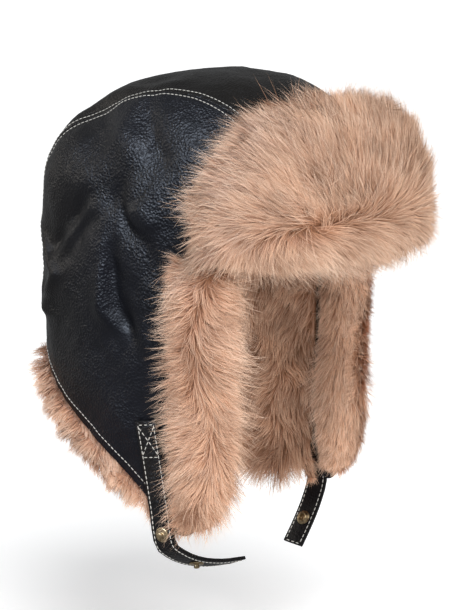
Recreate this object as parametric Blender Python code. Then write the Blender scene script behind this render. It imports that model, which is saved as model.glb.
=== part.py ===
"""Ushanka: a leather aviator hat with a turned-up fur brim, fur-edged ear flaps and a snap chin strap.

Metres, +Z up. The front of the hat faces -Y and the wearer's right is -X. The origin is the head seat, the
point inside the top of the crown where the skull meets the lining. Angles are in degrees round the head from
the front, rising towards the wearer's right. Turns are in degrees over the head from the front to the nape.
"""

import math

import bmesh
import bpy
import numpy as np
from mathutils import Matrix

# The smooth form that every layer follows
HALF_WIDTH = 0.098
FRONT_REACH = 0.122
BACK_REACH = 0.128
CROWN_RISE = 0.108
DOME_POWER = 2.7
PLAN_POWER = 2.25
SIDE_TAPER = 0.05
FRONT_TAPER = 0.10
BACK_TAPER = 0.02

# How far the back of the crown has sunk, and the share of that above the head seat
BACK_SAG = 0.0105
SEAT_SAG = 0.35

# Depths below the outer top of the crown before it sank
BROW_DEPTH = 0.118
NAPE_DEPTH = 0.208
FLAP_DEPTH = 0.316

# Walls
LEATHER = 0.0022
GAP = 0.0003
LINING_PILE = 0.0105
LINING_LOCK = 0.0022
CROWN_TOP = LEATHER + GAP + LINING_PILE + LINING_LOCK + BACK_SAG * SEAT_SAG
WIDEST_Z = CROWN_TOP - CROWN_RISE
BROW_Z = CROWN_TOP - BROW_DEPTH

# Crown strip and ear flaps
STRIP_HALF_WIDTH = 0.058
FLAP_EDGE_ANGLE = 52.0
CUFF_WIDTH = 0.026
STRIP_COLUMNS = 8
ARC_COLUMNS = 18
BROW_COLUMNS = 3
CUFF_COLUMNS = 3
ARC_ROWS = 6
SKIRT_ROWS = 8

# Fur below the hem
HEM_HANG = 0.015
HEM_LEAST = 0.35
HEM_FLARE = 0.013
HEM_ROWS = ((0.10, 0.0), (0.30, 0.8), (0.70, 1.0), (1.0, 0.3))

# Turned-up brim
BRIM_ANGLE = 57.5
BRIM_HEIGHT = 0.092
BRIM_HANG = 0.002
BRIM_SEAT = 0.0008
BRIM_STAND = 0.0045
BRIM_SLANT = 0.005
BRIM_PILE = 0.029
BRIM_EDGE_PILE = 0.006
BRIM_TOP_THINNING = 0.55
BRIM_LOCK = 0.0045
BRIM_CLEARANCE = 0.0009
FLAP_SHARE = 0.80
FLAP_ANGLE_SHARE = 0.92
BRIM_COLUMNS = 32
BRIM_ROWS = 13
BACKING_COLUMNS = 14
BACKING_ROWS = 5

# Fur cuffs on the front edges of the ear flaps
CUFF_OUTER_PILE = 0.0125
CUFF_INNER_PILE = 0.0150
CUFF_NOSE = 0.0105
CUFF_LOCK = 0.0020
CUFF_CLEARANCE = 0.0006
CUFF_UNDER_BRIM = 0.0018
CUFF_BOTTOM_DEPTH = 0.306
CUFF_STATIONS = 20
SLOT_STEPS = (0.33, 0.66, 0.97)

# Chin strap
STRAP_WIDTH = 0.017
STRAP_THICK = 0.0024
STRAP_TOP_DEPTH = 0.234
STRAP_TOP_ANGLE = 80.5
STRAP_EXIT_DEPTH = 0.300
STRAP_EXIT_ANGLE = 73.5
STRAP_EXIT_STAND = 0.0022
RIGHT_FREE = 0.090
LEFT_FREE = 0.070
STRAP_STATIONS = 22
FINE_STEPS = 200

# Snaps, in press-stud sizes
SNAP_FLANGE = 0.0053
SNAP_CAP = 0.0062
SNAP_POST = 0.0016
SNAP_KNOB = 0.0021
SNAP_KNOB_RISE = 0.0034
SNAP_PLATE = 0.0010
SNAP_MOUTH = 0.0024
SNAP_LIP = 0.0006
SNAP_CLEARANCE = 0.0003
SNAP_SEAT = 0.0005
UPPER_STUD_AT = 0.0135
LOWER_STUD_AT = 0.054
SOCKET_FROM_END = 0.021
ROUND_SIDES = 12

# Hem of the skirt: angle, depth as a share of FLAP_DEPTH
HEM = (
    (52, 0.895),
    (54, 0.936),
    (57, 0.969),
    (61, 0.992),
    (66, 1.000),
    (71, 0.982),
    (76, 0.948),
    (82, 0.916),
    (90, 0.880),
    (98, 0.850),
    (107, 0.818),
    (119, 0.779),
    (133, 0.733),
    (144, 0.696),
    (152, 0.669),
    (158, 0.6582),
    (180, 0.6582),
)

# How much lower the hem of the left flap hangs behind the ear: angle, depth as a share of FLAP_DEPTH
LEFT_SLUMP = (
    (70, 0.0),
    (78, 0.0),
    (88, 0.045),
    (98, 0.09),
    (114, 0.12),
    (126, 0.10),
    (140, 0.02),
    (148, 0.0),
    (180, 0.0),
)

# Sunken crown: place as a share of BACK_REACH behind the head seat, sag as a share of BACK_SAG
SAG = (
    (-0.50, 0.0),
    (-0.27, 0.0),
    (0.00, SEAT_SAG),
    (0.35, 1.0),
    (1.00, 1.0),
)

# Crown strip: share of the way from brow to nape, half width as a share of STRIP_HALF_WIDTH
STRIP = (
    (0.00, 1.06),
    (0.20, 1.02),
    (0.38, 0.95),
    (0.55, 0.96),
    (0.72, 1.02),
    (0.85, 0.97),
    (1.00, 0.84),
)

# Top edge of the brim fur: angle as a share of BRIM_ANGLE, height above the brow as a share of BRIM_HEIGHT
BRIM_TOP = (
    (0.00, 1.00),
    (0.30, 0.985),
    (0.50, 0.95),
    (0.70, 0.87),
    (0.84, 0.70),
    (0.93, 0.53),
    (1.00, 0.36),
)

# Fullness of the fur at and below the hem: angle, share of HEM_HANG and HEM_FLARE
HEM_FULLNESS = ((60, 0.0), (80, 0.0), (87, 0.7), (97, 1.0), (180, 1.0))

# Folds and dents in the leather. Side is 1 for the wearer's right, -1 for the left and 0 for both. Each runs
# from one angle and depth to another, with depths as shares of FLAP_DEPTH, its half width as a share of
# FOLD_WIDTH and its rise as a share of FOLD_RISE, below zero for a valley.
FOLD_WIDTH = 0.020
FOLD_RISE = 0.004
FOLD_FADE = 12.0
FOLDS = (
    (0, 118, 0.07, 112, 0.10, 1.10, -1.30),
    (1, 117, 0.06, 113, 0.10, 1.00, -1.30),
    (1, 97, 0.05, 79, 0.15, 0.60, -0.80),
    (1, 92, 0.14, 88, 0.17, 0.80, 0.60),
    (1, 72, 0.17, 121, 0.29, 0.80, -1.00),
    (1, 96, 0.26, 80, 0.39, 0.55, -0.85),
    (1, 80, 0.24, 74, 0.34, 0.60, 0.75),
    (1, 97, 0.40, 88, 0.55, 0.60, -0.70),
    (1, 108, 0.38, 101, 0.52, 0.70, 0.70),
    (1, 120, 0.29, 138, 0.40, 0.60, -0.80),
    (1, 148, 0.40, 128, 0.46, 0.50, 0.70),
    (1, 128, 0.46, 141, 0.56, 0.50, 0.55),
    (1, 84, 0.60, 96, 0.74, 0.90, 0.50),
    (-1, 100, 0.06, 82, 0.17, 0.70, -0.70),
    (-1, 76, 0.20, 118, 0.32, 0.80, -0.90),
    (-1, 92, 0.30, 84, 0.44, 0.60, -0.80),
    (-1, 104, 0.36, 98, 0.50, 0.80, 0.70),
    (-1, 128, 0.34, 140, 0.46, 0.60, -0.70),
    (-1, 90, 0.58, 100, 0.72, 0.90, 0.50),
    (0, 168, 0.20, 172, 0.34, 0.90, -0.70),
    (0, 160, 0.44, 176, 0.50, 0.60, 0.60),
)

# Section of a cuff, from the outer slot wall round the fur to the inner one: share of CUFF_WIDTH behind the
# leather's edge or, below zero, of CUFF_NOSE in front of it, and share of the outer pile or, below zero, of
# the inner one
CUFF_SECTION = (
    (1.00, 0.20),
    (0.88, 0.72),
    (0.62, 1.00),
    (0.32, 1.05),
    (0.02, 0.92),
    (-0.70, 0.60),
    (-1.00, 0.05),
    (-0.85, -0.45),
    (-0.20, -0.85),
    (0.25, -1.00),
    (0.60, -0.95),
    (0.90, -0.60),
)

# Fullness of a cuff: share of the way down, share of its piles and nose
CUFF_FULLNESS = ((0.00, 0.80), (0.10, 1.00), (0.55, 0.95), (0.80, 1.05), (0.93, 0.80), (1.00, 0.45))

# Free ends of the chin strap: inward, forward and downward from where it leaves the flap, as shares of its
# free length
RIGHT_HANG = (
    (-0.005, 0.02, 0.12),
    (0.005, 0.045, 0.235),
    (0.115, 0.08, 0.335),
    (0.28, 0.115, 0.42),
    (0.47, 0.155, 0.475),
    (0.72, 0.20, 0.51),
)
LEFT_HANG = (
    (0.00, 0.00, 0.24),
    (0.07, -0.02, 0.48),
    (0.20, -0.045, 0.71),
    (0.35, -0.07, 0.92),
)

COLOURS = {
    "leather": ((0.016, 0.016, 0.021), 0.42, 0.0),
    "fur": ((0.52, 0.36, 0.25), 0.85, 0.0),
    "lining fur": ((0.42, 0.28, 0.19), 0.85, 0.0),
    "brass": ((0.34, 0.25, 0.14), 0.35, 1.0),
}

# Angle at which a cuff's rear edge lies and the folds in the leather fade out
CUFF_ANGLE = FLAP_EDGE_ANGLE + math.degrees(CUFF_WIDTH / HALF_WIDTH)
TURN_LENGTH = 0.002
BROW_TURN = -(BROW_DEPTH - CROWN_RISE) / TURN_LENGTH
BACK_BROW_TURN = 180 - BROW_TURN
NAPE_TURN = 180 + (NAPE_DEPTH - CROWN_RISE) / TURN_LENGTH
GRADIENT_STEP = 1e-4
HALVINGS = 50


def read_table(rows, at):
    """A smooth value read from rows of place and value."""
    places, values = np.array(rows, float).T
    slopes = np.gradient(values, places)
    flat = np.diff(values) == 0
    slopes[:-1][flat] = 0
    slopes[1:][flat] = 0
    at = np.clip(np.asarray(at, float), places[0], places[-1])
    index = np.clip(np.searchsorted(places, at) - 1, 0, len(places) - 2)
    width = places[index + 1] - places[index]
    share = (at - places[index]) / width
    start = (1 + 2 * share) * (1 - share) ** 2 * values[index]
    end = (3 - 2 * share) * share**2 * values[index + 1]
    lean = share * (1 - share) * width
    return start + end + lean * ((1 - share) * slopes[index] - share * slopes[index + 1])


def reaches(height):
    """Half width, front reach and back reach of the smooth form at a height."""
    below = np.clip((WIDEST_Z - height) / (FLAP_DEPTH - CROWN_RISE), 0, 1)
    return (
        HALF_WIDTH * (1 - SIDE_TAPER * below),
        FRONT_REACH * (1 - FRONT_TAPER * below),
        BACK_REACH * (1 - BACK_TAPER * below),
    )


def level(points):
    """1 on the smooth form, less inside it and more outside."""
    x, y, z = np.moveaxis(points, -1, 0)
    half_width, front, back = reaches(z)
    plan = np.abs(x / half_width) ** PLAN_POWER + np.abs(y / np.where(y < 0, front, back)) ** PLAN_POWER
    rise = np.clip((z - WIDEST_Z) / CROWN_RISE, 0, None)
    return plan ** (DOME_POWER / PLAN_POWER) + rise**DOME_POWER


def outward(points):
    """Unit normals of the smooth form."""
    slopes = [level(points + step) - level(points - step) for step in np.eye(3) * GRADIENT_STEP]
    slopes = np.stack(slopes, -1)
    return slopes / np.linalg.norm(slopes, axis=-1, keepdims=True)


def around(angle, height):
    """Points of the smooth form at angles round the head and heights."""
    angle = np.radians(np.asarray(angle, float))
    height = np.asarray(height, float)
    half_width, front, back = reaches(height)
    rise = np.clip((height - WIDEST_Z) / CROWN_RISE, 0, 1)
    shrink = (1 - rise**DOME_POWER) ** (1 / DOME_POWER)
    side = np.abs(np.sin(angle) / half_width) ** PLAN_POWER
    ahead = np.abs(np.cos(angle) / np.where(np.cos(angle) > 0, front, back)) ** PLAN_POWER
    radius = shrink * (side + ahead) ** (-1 / PLAN_POWER)
    return np.stack(np.broadcast_arrays(-radius * np.sin(angle), -radius * np.cos(angle), height), -1)


def over(sideways, turn):
    """Points of the smooth form at offsets to the side and turns over the head."""
    sideways, turn = np.broadcast_arrays(np.asarray(sideways, float), np.asarray(turn, float))
    below = np.clip(-turn, 0, None) + np.clip(turn - 180, 0, None)
    lean = np.radians(np.clip(turn, 0, 180))
    start = np.stack([sideways, np.zeros_like(sideways), WIDEST_Z - below * TURN_LENGTH], -1)
    ray = np.stack([np.zeros_like(lean), -np.cos(lean), np.sin(lean)], -1)
    near, far = np.zeros_like(lean), np.full_like(lean, BACK_REACH + CROWN_RISE)
    for _ in range(HALVINGS):
        middle = (near + far) / 2
        inside = level(start + ray * middle[..., None]) < 1
        near, far = np.where(inside, middle, near), np.where(inside, far, middle)
    return start + ray * near[..., None]


def angle_of(points):
    return np.degrees(np.arctan2(-points[..., 0], -points[..., 1]))


def fall(height):
    """A length down the form from its widest level, below zero up on the dome, where it is an arc's."""
    rise = np.clip((height - WIDEST_Z) / CROWN_RISE, 0, 1)
    return np.where(height < WIDEST_Z, WIDEST_Z - height, -CROWN_RISE * np.arcsin(rise ** (DOME_POWER / 2)))


def height_at(length):
    arc = np.clip(-length / CROWN_RISE, 0, math.pi / 2)
    return np.where(length > 0, WIDEST_Z - length, WIDEST_Z + CROWN_RISE * np.sin(arc) ** (2 / DOME_POWER))


def folds(points):
    """How far the leather stands proud of the smooth form."""
    angle, depth = angle_of(points), CROWN_TOP - points[..., 2]
    girth = math.radians(1) * (HALF_WIDTH + BACK_REACH) / 2
    proud = np.zeros(angle.shape)
    for side, start_angle, start_depth, end_angle, end_depth, width, rise in FOLDS:
        for sign in (1, -1) if side == 0 else (side,):
            along = np.array([(end_angle - start_angle) * girth, (end_depth - start_depth) * FLAP_DEPTH])
            across = sign * angle - start_angle
            place = np.stack([across * girth, depth - start_depth * FLAP_DEPTH], -1)
            share = np.clip(place @ along / (along @ along), 0, 1)
            distance = np.linalg.norm(place - share[..., None] * along, axis=-1)
            proud += rise * FOLD_RISE * np.exp(-((distance / (width * FOLD_WIDTH)) ** 2))
    return proud * np.clip((np.abs(angle) - CUFF_ANGLE) / FOLD_FADE, 0, 1)


def sag(points):
    """How far the crown has sunk at each point, which fades out down to its widest level."""
    rise = np.clip((points[..., 2] - WIDEST_Z) / CROWN_RISE, 0, 1)
    return BACK_SAG * rise * read_table(SAG, points[..., 1] / BACK_REACH)


def layer(points, proud):
    """The same points on a layer that lies proud of the leather's outer face, or below zero under it."""
    moved = points + outward(points) * (folds(points) + proud)[..., None]
    moved[..., 2] -= sag(points)
    return moved


def hem_depth(angle, side=1):
    """Depth of the leather's hem at an angle from the front, on the wearer's right, or left below zero."""
    share = read_table(HEM, angle)
    if side < 0:
        share = share + read_table(LEFT_SLUMP, angle)
    return FLAP_DEPTH * share


def grid_faces(rows, columns, first=0):
    """Triangles of a grid of points, two for each cell, split the same way on every layer."""
    faces = []
    for row in range(rows - 1):
        for column in range(columns - 1):
            a = first + row * columns + column
            b, c, d = a + 1, a + columns + 1, a + columns
            faces += [(a, b, c), (a, c, d)]
    return faces


def wall(name, outer, inner, faces, colour):
    """One closed body between two layers of like points."""
    mesh = bmesh.new()
    outside = [mesh.verts.new(point) for point in outer]
    inside = [mesh.verts.new(point) for point in inner]
    for face in faces:
        mesh.faces.new([outside[i] for i in face])
        mesh.faces.new([inside[i] for i in reversed(face)])
    edges = {pair for face in faces for pair in zip(face, face[1:] + face[:1])}
    for a, b in sorted(edges):
        if (b, a) not in edges:
            mesh.faces.new((outside[b], outside[a], inside[a]))
            mesh.faces.new((outside[b], inside[a], inside[b]))
    return finish(name, mesh, colour)


def finish(name, mesh, colour):
    bmesh.ops.remove_doubles(mesh, verts=mesh.verts, dist=1e-6)
    bmesh.ops.recalc_face_normals(mesh, faces=mesh.faces)
    data = bpy.data.meshes.new(name)
    mesh.to_mesh(data)
    mesh.free()
    data.shade_smooth()
    data.materials.append(material(colour))
    item = bpy.data.objects.new(name, data)
    bpy.context.scene.collection.objects.link(item)
    return item


def material(colour):
    if colour in bpy.data.materials:
        return bpy.data.materials[colour]
    made = bpy.data.materials.new(colour)
    made.use_nodes = True
    shader = made.node_tree.nodes["Principled BSDF"]
    base, roughness, metallic = COLOURS[colour]
    shader.inputs["Base Color"].default_value = (*base, 1)
    shader.inputs["Roughness"].default_value = roughness
    shader.inputs["Metallic"].default_value = metallic
    return made


def locks(rows, columns):
    """A shingle of tufts, from 0 at a root to 1 at a tip, staggered from column to column."""
    row, column = np.mgrid[0:rows, 0:columns]
    return ((row + 2 * (column % 2)) % 3) / 2


def strip_half_width(turn):
    share = (turn - BROW_TURN) / (NAPE_TURN - BROW_TURN)
    return STRIP_HALF_WIDTH * read_table(STRIP, share)


def strip_rows():
    """Turns of the strip's rows, which meet those of the side panels along the seams."""
    crown = np.linspace(BROW_TURN, BACK_BROW_TURN, ARC_COLUMNS + 1)
    skirt = np.linspace(BACK_BROW_TURN, NAPE_TURN, SKIRT_ROWS + 1)
    return np.concatenate([crown, skirt[1:]])


def build_strip(name, outer, pile, lock, colour, hang=()):
    """The band over the crown from brow to nape, as leather or as its lining."""
    turns = strip_rows()
    across = np.linspace(1, -1, STRIP_COLUMNS + 1)
    half = strip_half_width(turns) - GAP / 2
    points = over(across * half[:, None], turns[:, None])
    proud = np.full(points.shape[:2], -outer)
    points, proud = add_hang(points, proud, hang)
    rows, columns = points.shape[:2]
    outside = layer(points, proud)
    depth = np.minimum(proud, -outer) - pile - lock * locks(rows, columns)
    inside = layer(points, depth)
    return wall(name, outside.reshape(-1, 3), inside.reshape(-1, 3), grid_faces(rows, columns), colour)


def add_hang(points, proud, hang):
    """Rows of fur added below the last row of a grid, bulging out from under the leather's hem."""
    last, last_proud = points[-1], proud[-1]
    fullness = read_table(HEM_FULLNESS, np.abs(angle_of(last)))
    for down, out in hang:
        lower = last.copy()
        lower[:, 2] -= HEM_HANG * down * (HEM_LEAST + (1 - HEM_LEAST) * fullness)
        points = np.concatenate([points, lower[None]])
        row = last_proud + HEM_FLARE * out * fullness
        proud = np.concatenate([proud, row[None]])
    return points, proud


def build_side(name, side, outer, pile, lock, colour, first_column=0, hang=()):
    """A side panel with its ear flap and half the back, as leather or as its lining.

    The upper grid runs from the seam beside the crown strip down to the brow's level, and the lower one from
    there to the hem. first_column leaves out the columns that a fur cuff covers.
    """
    turns = np.linspace(BROW_TURN, BACK_BROW_TURN, ARC_COLUMNS + 1)
    seam = over(-(strip_half_width(turns) + GAP / 2), turns)
    seam_angle = angle_of(seam)
    lining_edge = CUFF_ANGLE + 1
    parts = (
        np.linspace(seam_angle[0], FLAP_EDGE_ANGLE, BROW_COLUMNS + 1)[:-1],
        np.linspace(FLAP_EDGE_ANGLE, lining_edge, CUFF_COLUMNS + 1)[:-1],
        np.linspace(lining_edge, seam_angle[-1], ARC_COLUMNS - BROW_COLUMNS - CUFF_COLUMNS + 1),
    )
    base_angle = np.concatenate(parts)
    share = np.linspace(0, 1, ARC_ROWS + 1)[:, None]
    angles = (1 - share) * seam_angle + share * base_angle
    heights = height_at((1 - share) * fall(seam[:, 2]) + share * fall(np.float64(BROW_Z)))
    upper = around(angles, heights)
    upper[0] = seam

    start = BROW_COLUMNS + first_column
    top_angle = base_angle[start:]
    back_share = ((top_angle - FLAP_EDGE_ANGLE) / (seam_angle[-1] - FLAP_EDGE_ANGLE)) ** 2
    nape_angle = angle_of(over(-(strip_half_width(NAPE_TURN) + GAP / 2), NAPE_TURN))
    hem_angle = top_angle + back_share * (nape_angle - seam_angle[-1])
    share = np.linspace(0, 1, SKIRT_ROWS + 1)[:, None]
    heights = BROW_Z - share * (hem_depth(hem_angle, side) - BROW_DEPTH)
    back_turn = 180 + (WIDEST_Z - heights[:, -1]) / TURN_LENGTH
    back_seam = over(-(strip_half_width(back_turn) + GAP / 2), back_turn)
    lean = (angle_of(back_seam) - seam_angle[-1])[:, None]
    lower = around(top_angle + back_share * lean, heights)
    lower[:, -1] = back_seam

    proud = np.full(lower.shape[:2], -outer)
    lower, proud = add_hang(lower, proud, hang)
    upper_rows, upper_columns = upper.shape[:2]
    rows, columns = lower.shape[:2]
    points = np.concatenate([upper.reshape(-1, 3), lower.reshape(-1, 3)])
    proud = np.concatenate([np.full(upper_rows * upper_columns, -outer), proud.ravel()])
    tufts = np.concatenate([locks(upper_rows, upper_columns).ravel(), locks(rows, columns).ravel()])
    # Points that the two grids share, or that close to one at the seam's ends, take one tuft between them
    base_row = (upper_rows - 1) * upper_columns + start
    first_lower = upper_rows * upper_columns
    tufts[first_lower : first_lower + columns] = tufts[base_row : base_row + columns]
    tufts[:first_lower:upper_columns] = 0
    tufts[upper_columns - 1 : first_lower : upper_columns] = tufts[first_lower + columns - 1]
    faces = grid_faces(upper_rows, upper_columns) + grid_faces(rows, columns, first_lower)
    points[:, 0] *= side
    if side < 0:
        faces = [face[::-1] for face in faces]
    outside = layer(points, proud)
    inside = layer(points, np.minimum(proud, -outer) - pile - lock * tufts)
    return joined_wall(name, outside, inside, faces, colour)


def joined_wall(name, outside, inside, faces, colour):
    """A wall whose grids share points, which are made one before its rim is found."""
    _, first, index = np.unique(np.round(outside, 7), axis=0, return_index=True, return_inverse=True)
    index = index.reshape(-1)
    merged = []
    for face in faces:
        corners = tuple(int(index[i]) for i in face)
        if len(set(corners)) == 3:
            merged.append(corners)
    return wall(name, outside[first], inside[first], merged, colour)


def brim_slant(angle):
    return BRIM_SLANT * np.sin(np.radians(angle))


def brim_stand(share):
    """How far the back of the brim stands off the crown, from its fold up."""
    return BRIM_SEAT + (BRIM_STAND - BRIM_SEAT) * np.clip(share, 0, 1)


def brim_grid(columns, rows, angle_share, height_share, hang):
    """Points behind the brim, in rows up from the brow, with each row's share of the brim's height."""
    across = np.linspace(-1, 1, columns + 1)
    angle = across * BRIM_ANGLE * angle_share
    top = height_share * BRIM_HEIGHT * read_table(BRIM_TOP, np.abs(across))
    low = fall(BROW_Z - hang + brim_slant(angle))
    high = fall(BROW_Z + top + brim_slant(angle))
    share = np.linspace(0, 1, rows + 1)[:, None]
    return around(angle + 0 * share, height_at((1 - share) * low + share * high)), share, across


def build_brim_flap():
    """The leather wall behind the brim fur, folded up from the brow."""
    points, share, _ = brim_grid(BACKING_COLUMNS, BACKING_ROWS, FLAP_ANGLE_SHARE, FLAP_SHARE, 0)
    inner = brim_stand(share) + np.zeros(points.shape[:2])
    rows, columns = points.shape[:2]
    outside = layer(points, inner + LEATHER).reshape(-1, 3)
    inside = layer(points, inner).reshape(-1, 3)
    return wall("brim_flap", outside, inside, grid_faces(rows, columns), "leather")


def build_brim_fur():
    """The deep fur on the front of the brim, standing past the leather behind it on every side."""
    points, share, across = brim_grid(BRIM_COLUMNS, BRIM_ROWS, 1, 1, BRIM_HANG)
    rows, columns = points.shape[:2]
    inner = BRIM_STAND + LEATHER + BRIM_CLEARANCE + np.zeros((rows, columns))
    edge = np.maximum(np.abs(across) ** 5, np.abs(2 * share - 1) ** 5)
    full = np.sqrt(np.clip(1 - edge, 0, 1))
    thinning = 1 - BRIM_TOP_THINNING * share**2
    tufts = locks(rows, columns) * np.clip(4 * full, 0.3, 1)
    outer = inner + BRIM_EDGE_PILE + (BRIM_PILE - BRIM_EDGE_PILE) * full * thinning + BRIM_LOCK * tufts
    outside = layer(points, outer).reshape(-1, 3)
    inside = layer(points, inner).reshape(-1, 3)
    return wall("brim_fur", outside, inside, grid_faces(rows, columns), "fur")


def edge_angle(depth):
    """Angle of the front edge of the ear flap at a depth, which curves back round its lower corner."""
    angles = np.linspace(HEM[0][0], HEM[4][0], 60)
    return np.interp(depth, hem_depth(angles), angles)


def build_cuff(name, side):
    """A fur cuff folded round the front edge of an ear flap, over its outer and inner faces."""
    under_brim = BRIM_HANG - side * brim_slant(FLAP_EDGE_ANGLE) + CUFF_UNDER_BRIM
    top = BROW_DEPTH + max(under_brim, CUFF_CLEARANCE)
    depth = np.linspace(top, CUFF_BOTTOM_DEPTH, CUFF_STATIONS + 1)
    depth = np.sort(np.append(depth, hem_depth(FLAP_EDGE_ANGLE)))
    full = read_table(CUFF_FULLNESS, (depth - top) / (CUFF_BOTTOM_DEPTH - top))
    slot = LEATHER + CUFF_CLEARANCE
    rings = []
    for station, (down, fullness) in enumerate(zip(depth, full)):
        width = CUFF_WIDTH - HALF_WIDTH * math.radians(edge_angle(down) - FLAP_EDGE_ANGLE)
        walls = (-GAP, *(width * step for step in SLOT_STEPS))
        section = [(back, CUFF_CLEARANCE) for back in walls]
        for number, (back, out) in enumerate(CUFF_SECTION):
            tuft = CUFF_LOCK * ((station + 2 * (number % 2)) % 3) / 2
            reach = back * (width if back > 0 else CUFF_NOSE * fullness)
            if back < 0:
                reach = reach - GAP - tuft
            if out > 0:
                proud = CUFF_CLEARANCE + GAP + out * CUFF_OUTER_PILE * fullness + tuft
            else:
                proud = -slot - GAP + out * CUFF_INNER_PILE * fullness - tuft
            section.append((reach, proud))
        section += [(back, -slot) for back in reversed(walls)]
        reach, proud = np.array(section).T
        angle = edge_angle(down) + np.degrees(reach / HALF_WIDTH)
        points = around(angle, CROWN_TOP - down + 0 * angle)
        points[:, 0] *= side
        rings.append(layer(points, proud))
    return tube(name, rings, "fur")


def tube(name, rings, colour):
    """One closed body through rings of like points, with its two ends filled."""
    mesh = bmesh.new()
    loops = [[mesh.verts.new(point) for point in ring] for ring in rings]
    count = len(loops[0])
    for upper, lower in zip(loops, loops[1:]):
        for i in range(count):
            j = (i + 1) % count
            mesh.faces.new((upper[i], upper[j], lower[j]))
            mesh.faces.new((upper[i], lower[j], lower[i]))
    for loop in (loops[0], loops[-1]):
        end = mesh.faces.new(loop)
        bmesh.ops.triangulate(mesh, faces=[end])
    return finish(name, mesh, colour)


def smooth_path(points, count):
    """Evenly spaced points on a smooth curve through the given ones."""
    points = np.array(points, float)
    lengths = np.concatenate([[0], np.cumsum(np.linalg.norm(np.diff(points, axis=0), axis=1))])
    fine = np.linspace(0, lengths[-1], FINE_STEPS)
    curve = np.stack([read_table(np.stack([lengths, axis], 1), fine) for axis in points.T], 1)
    along = np.concatenate([[0], np.cumsum(np.linalg.norm(np.diff(curve, axis=0), axis=1))])
    even = np.linspace(0, along[-1], count)
    return np.stack([np.interp(even, along, axis) for axis in curve.T], 1), even


def strap_line(side, free, hang):
    """Middle line of a strap, its outward normals, and the length at which it leaves the flap."""
    steps = np.linspace(0, 1, 6)
    angle = STRAP_TOP_ANGLE + steps * (STRAP_EXIT_ANGLE - STRAP_TOP_ANGLE)
    depth = STRAP_TOP_DEPTH + steps * (STRAP_EXIT_DEPTH - STRAP_TOP_DEPTH)
    points = around(angle, CROWN_TOP - depth)
    points[:, 0] *= side
    stand = 2 * GAP + (STRAP_EXIT_STAND - 2 * GAP) * steps**2
    carried = layer(points, stand + STRAP_THICK / 2)
    inward, forward, down = np.array(hang).T * free
    loose = carried[-1] + np.stack([side * inward, -forward, -down], 1)
    line, along = smooth_path(np.concatenate([carried, loose]), STRAP_STATIONS)
    leaves = np.linalg.norm(np.diff(carried, axis=0), axis=1).sum()
    normals = [outward(points[:1])[0]]
    ways = np.gradient(line, axis=0)
    ways /= np.linalg.norm(ways, axis=1, keepdims=True)
    for way in ways:
        turned_normal = normals[-1] - (normals[-1] @ way) * way
        normals.append(turned_normal / np.linalg.norm(turned_normal))
    return line, ways, np.array(normals[1:]), along, leaves


def build_strap(name, line, ways, normals):
    across = np.cross(ways, normals) * STRAP_WIDTH / 2
    thick = normals * STRAP_THICK / 2
    rings = np.stack([line + across + thick, line - across + thick, line - across - thick, line + across - thick], 1)
    return tube(name, rings, "leather")


def snap_place(line, ways, normals, along, at):
    """A place on a strap's middle line, with local Z out of its outer face."""
    point = [np.interp(at, along, axis) for axis in line.T]
    normal = np.array([np.interp(at, along, axis) for axis in normals.T])
    way = np.array([np.interp(at, along, axis) for axis in ways.T])
    normal /= np.linalg.norm(normal)
    across = np.cross(normal, way)
    across /= np.linalg.norm(across)
    frame = np.column_stack([np.cross(across, normal), across, normal])
    return Matrix.Translation(point) @ Matrix(frame.tolist()).to_4x4()


def turned(name, profile, place, colour):
    """A round piece from rows of radius and height, spun round its own Z axis and placed."""
    mesh = bmesh.new()
    points = [mesh.verts.new((radius, 0, height)) for radius, height in profile]
    edges = [mesh.edges.new(pair) for pair in zip(points, points[1:])]
    bmesh.ops.spin(
        mesh, geom=points + edges, axis=(0, 0, 1), cent=(0, 0, 0), angle=2 * math.pi, steps=ROUND_SIDES
    )
    item = finish(name, mesh, colour)
    item.matrix_world = place
    return item


def cut_hole(strap, place, radius):
    """A round hole through a strap for a snap's post."""
    profile = ((0, -STRAP_THICK), (radius, -STRAP_THICK), (radius, STRAP_THICK), (0, STRAP_THICK))
    cutter = turned(strap.name + "_hole", profile, place, "brass")
    cutter.hide_render = True
    cutter.display_type = "WIRE"
    cut = strap.modifiers.new("hole", "BOOLEAN")
    cut.operation = "DIFFERENCE"
    cut.object = cutter


def build_stud(name, strap, place):
    """A male snap: knob and flange on the outer face, post through the strap, plain plate behind."""
    face = STRAP_THICK / 2 + SNAP_SEAT
    profile = (
        (0, -face - SNAP_PLATE),
        (SNAP_FLANGE * 0.85, -face - SNAP_PLATE),
        (SNAP_FLANGE, -face - SNAP_PLATE * 0.4),
        (SNAP_FLANGE, -face),
        (SNAP_POST, -face),
        (SNAP_POST, face),
        (SNAP_FLANGE, face),
        (SNAP_FLANGE * 0.9, face + SNAP_PLATE * 0.8),
        (SNAP_KNOB * 0.85, face + SNAP_PLATE),
        (SNAP_KNOB, face + SNAP_KNOB_RISE * 0.8),
        (SNAP_KNOB * 0.6, face + SNAP_KNOB_RISE),
        (0, face + SNAP_KNOB_RISE),
    )
    cut_hole(strap, place, SNAP_POST + SNAP_CLEARANCE)
    return turned(name, profile, place, "brass")


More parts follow.
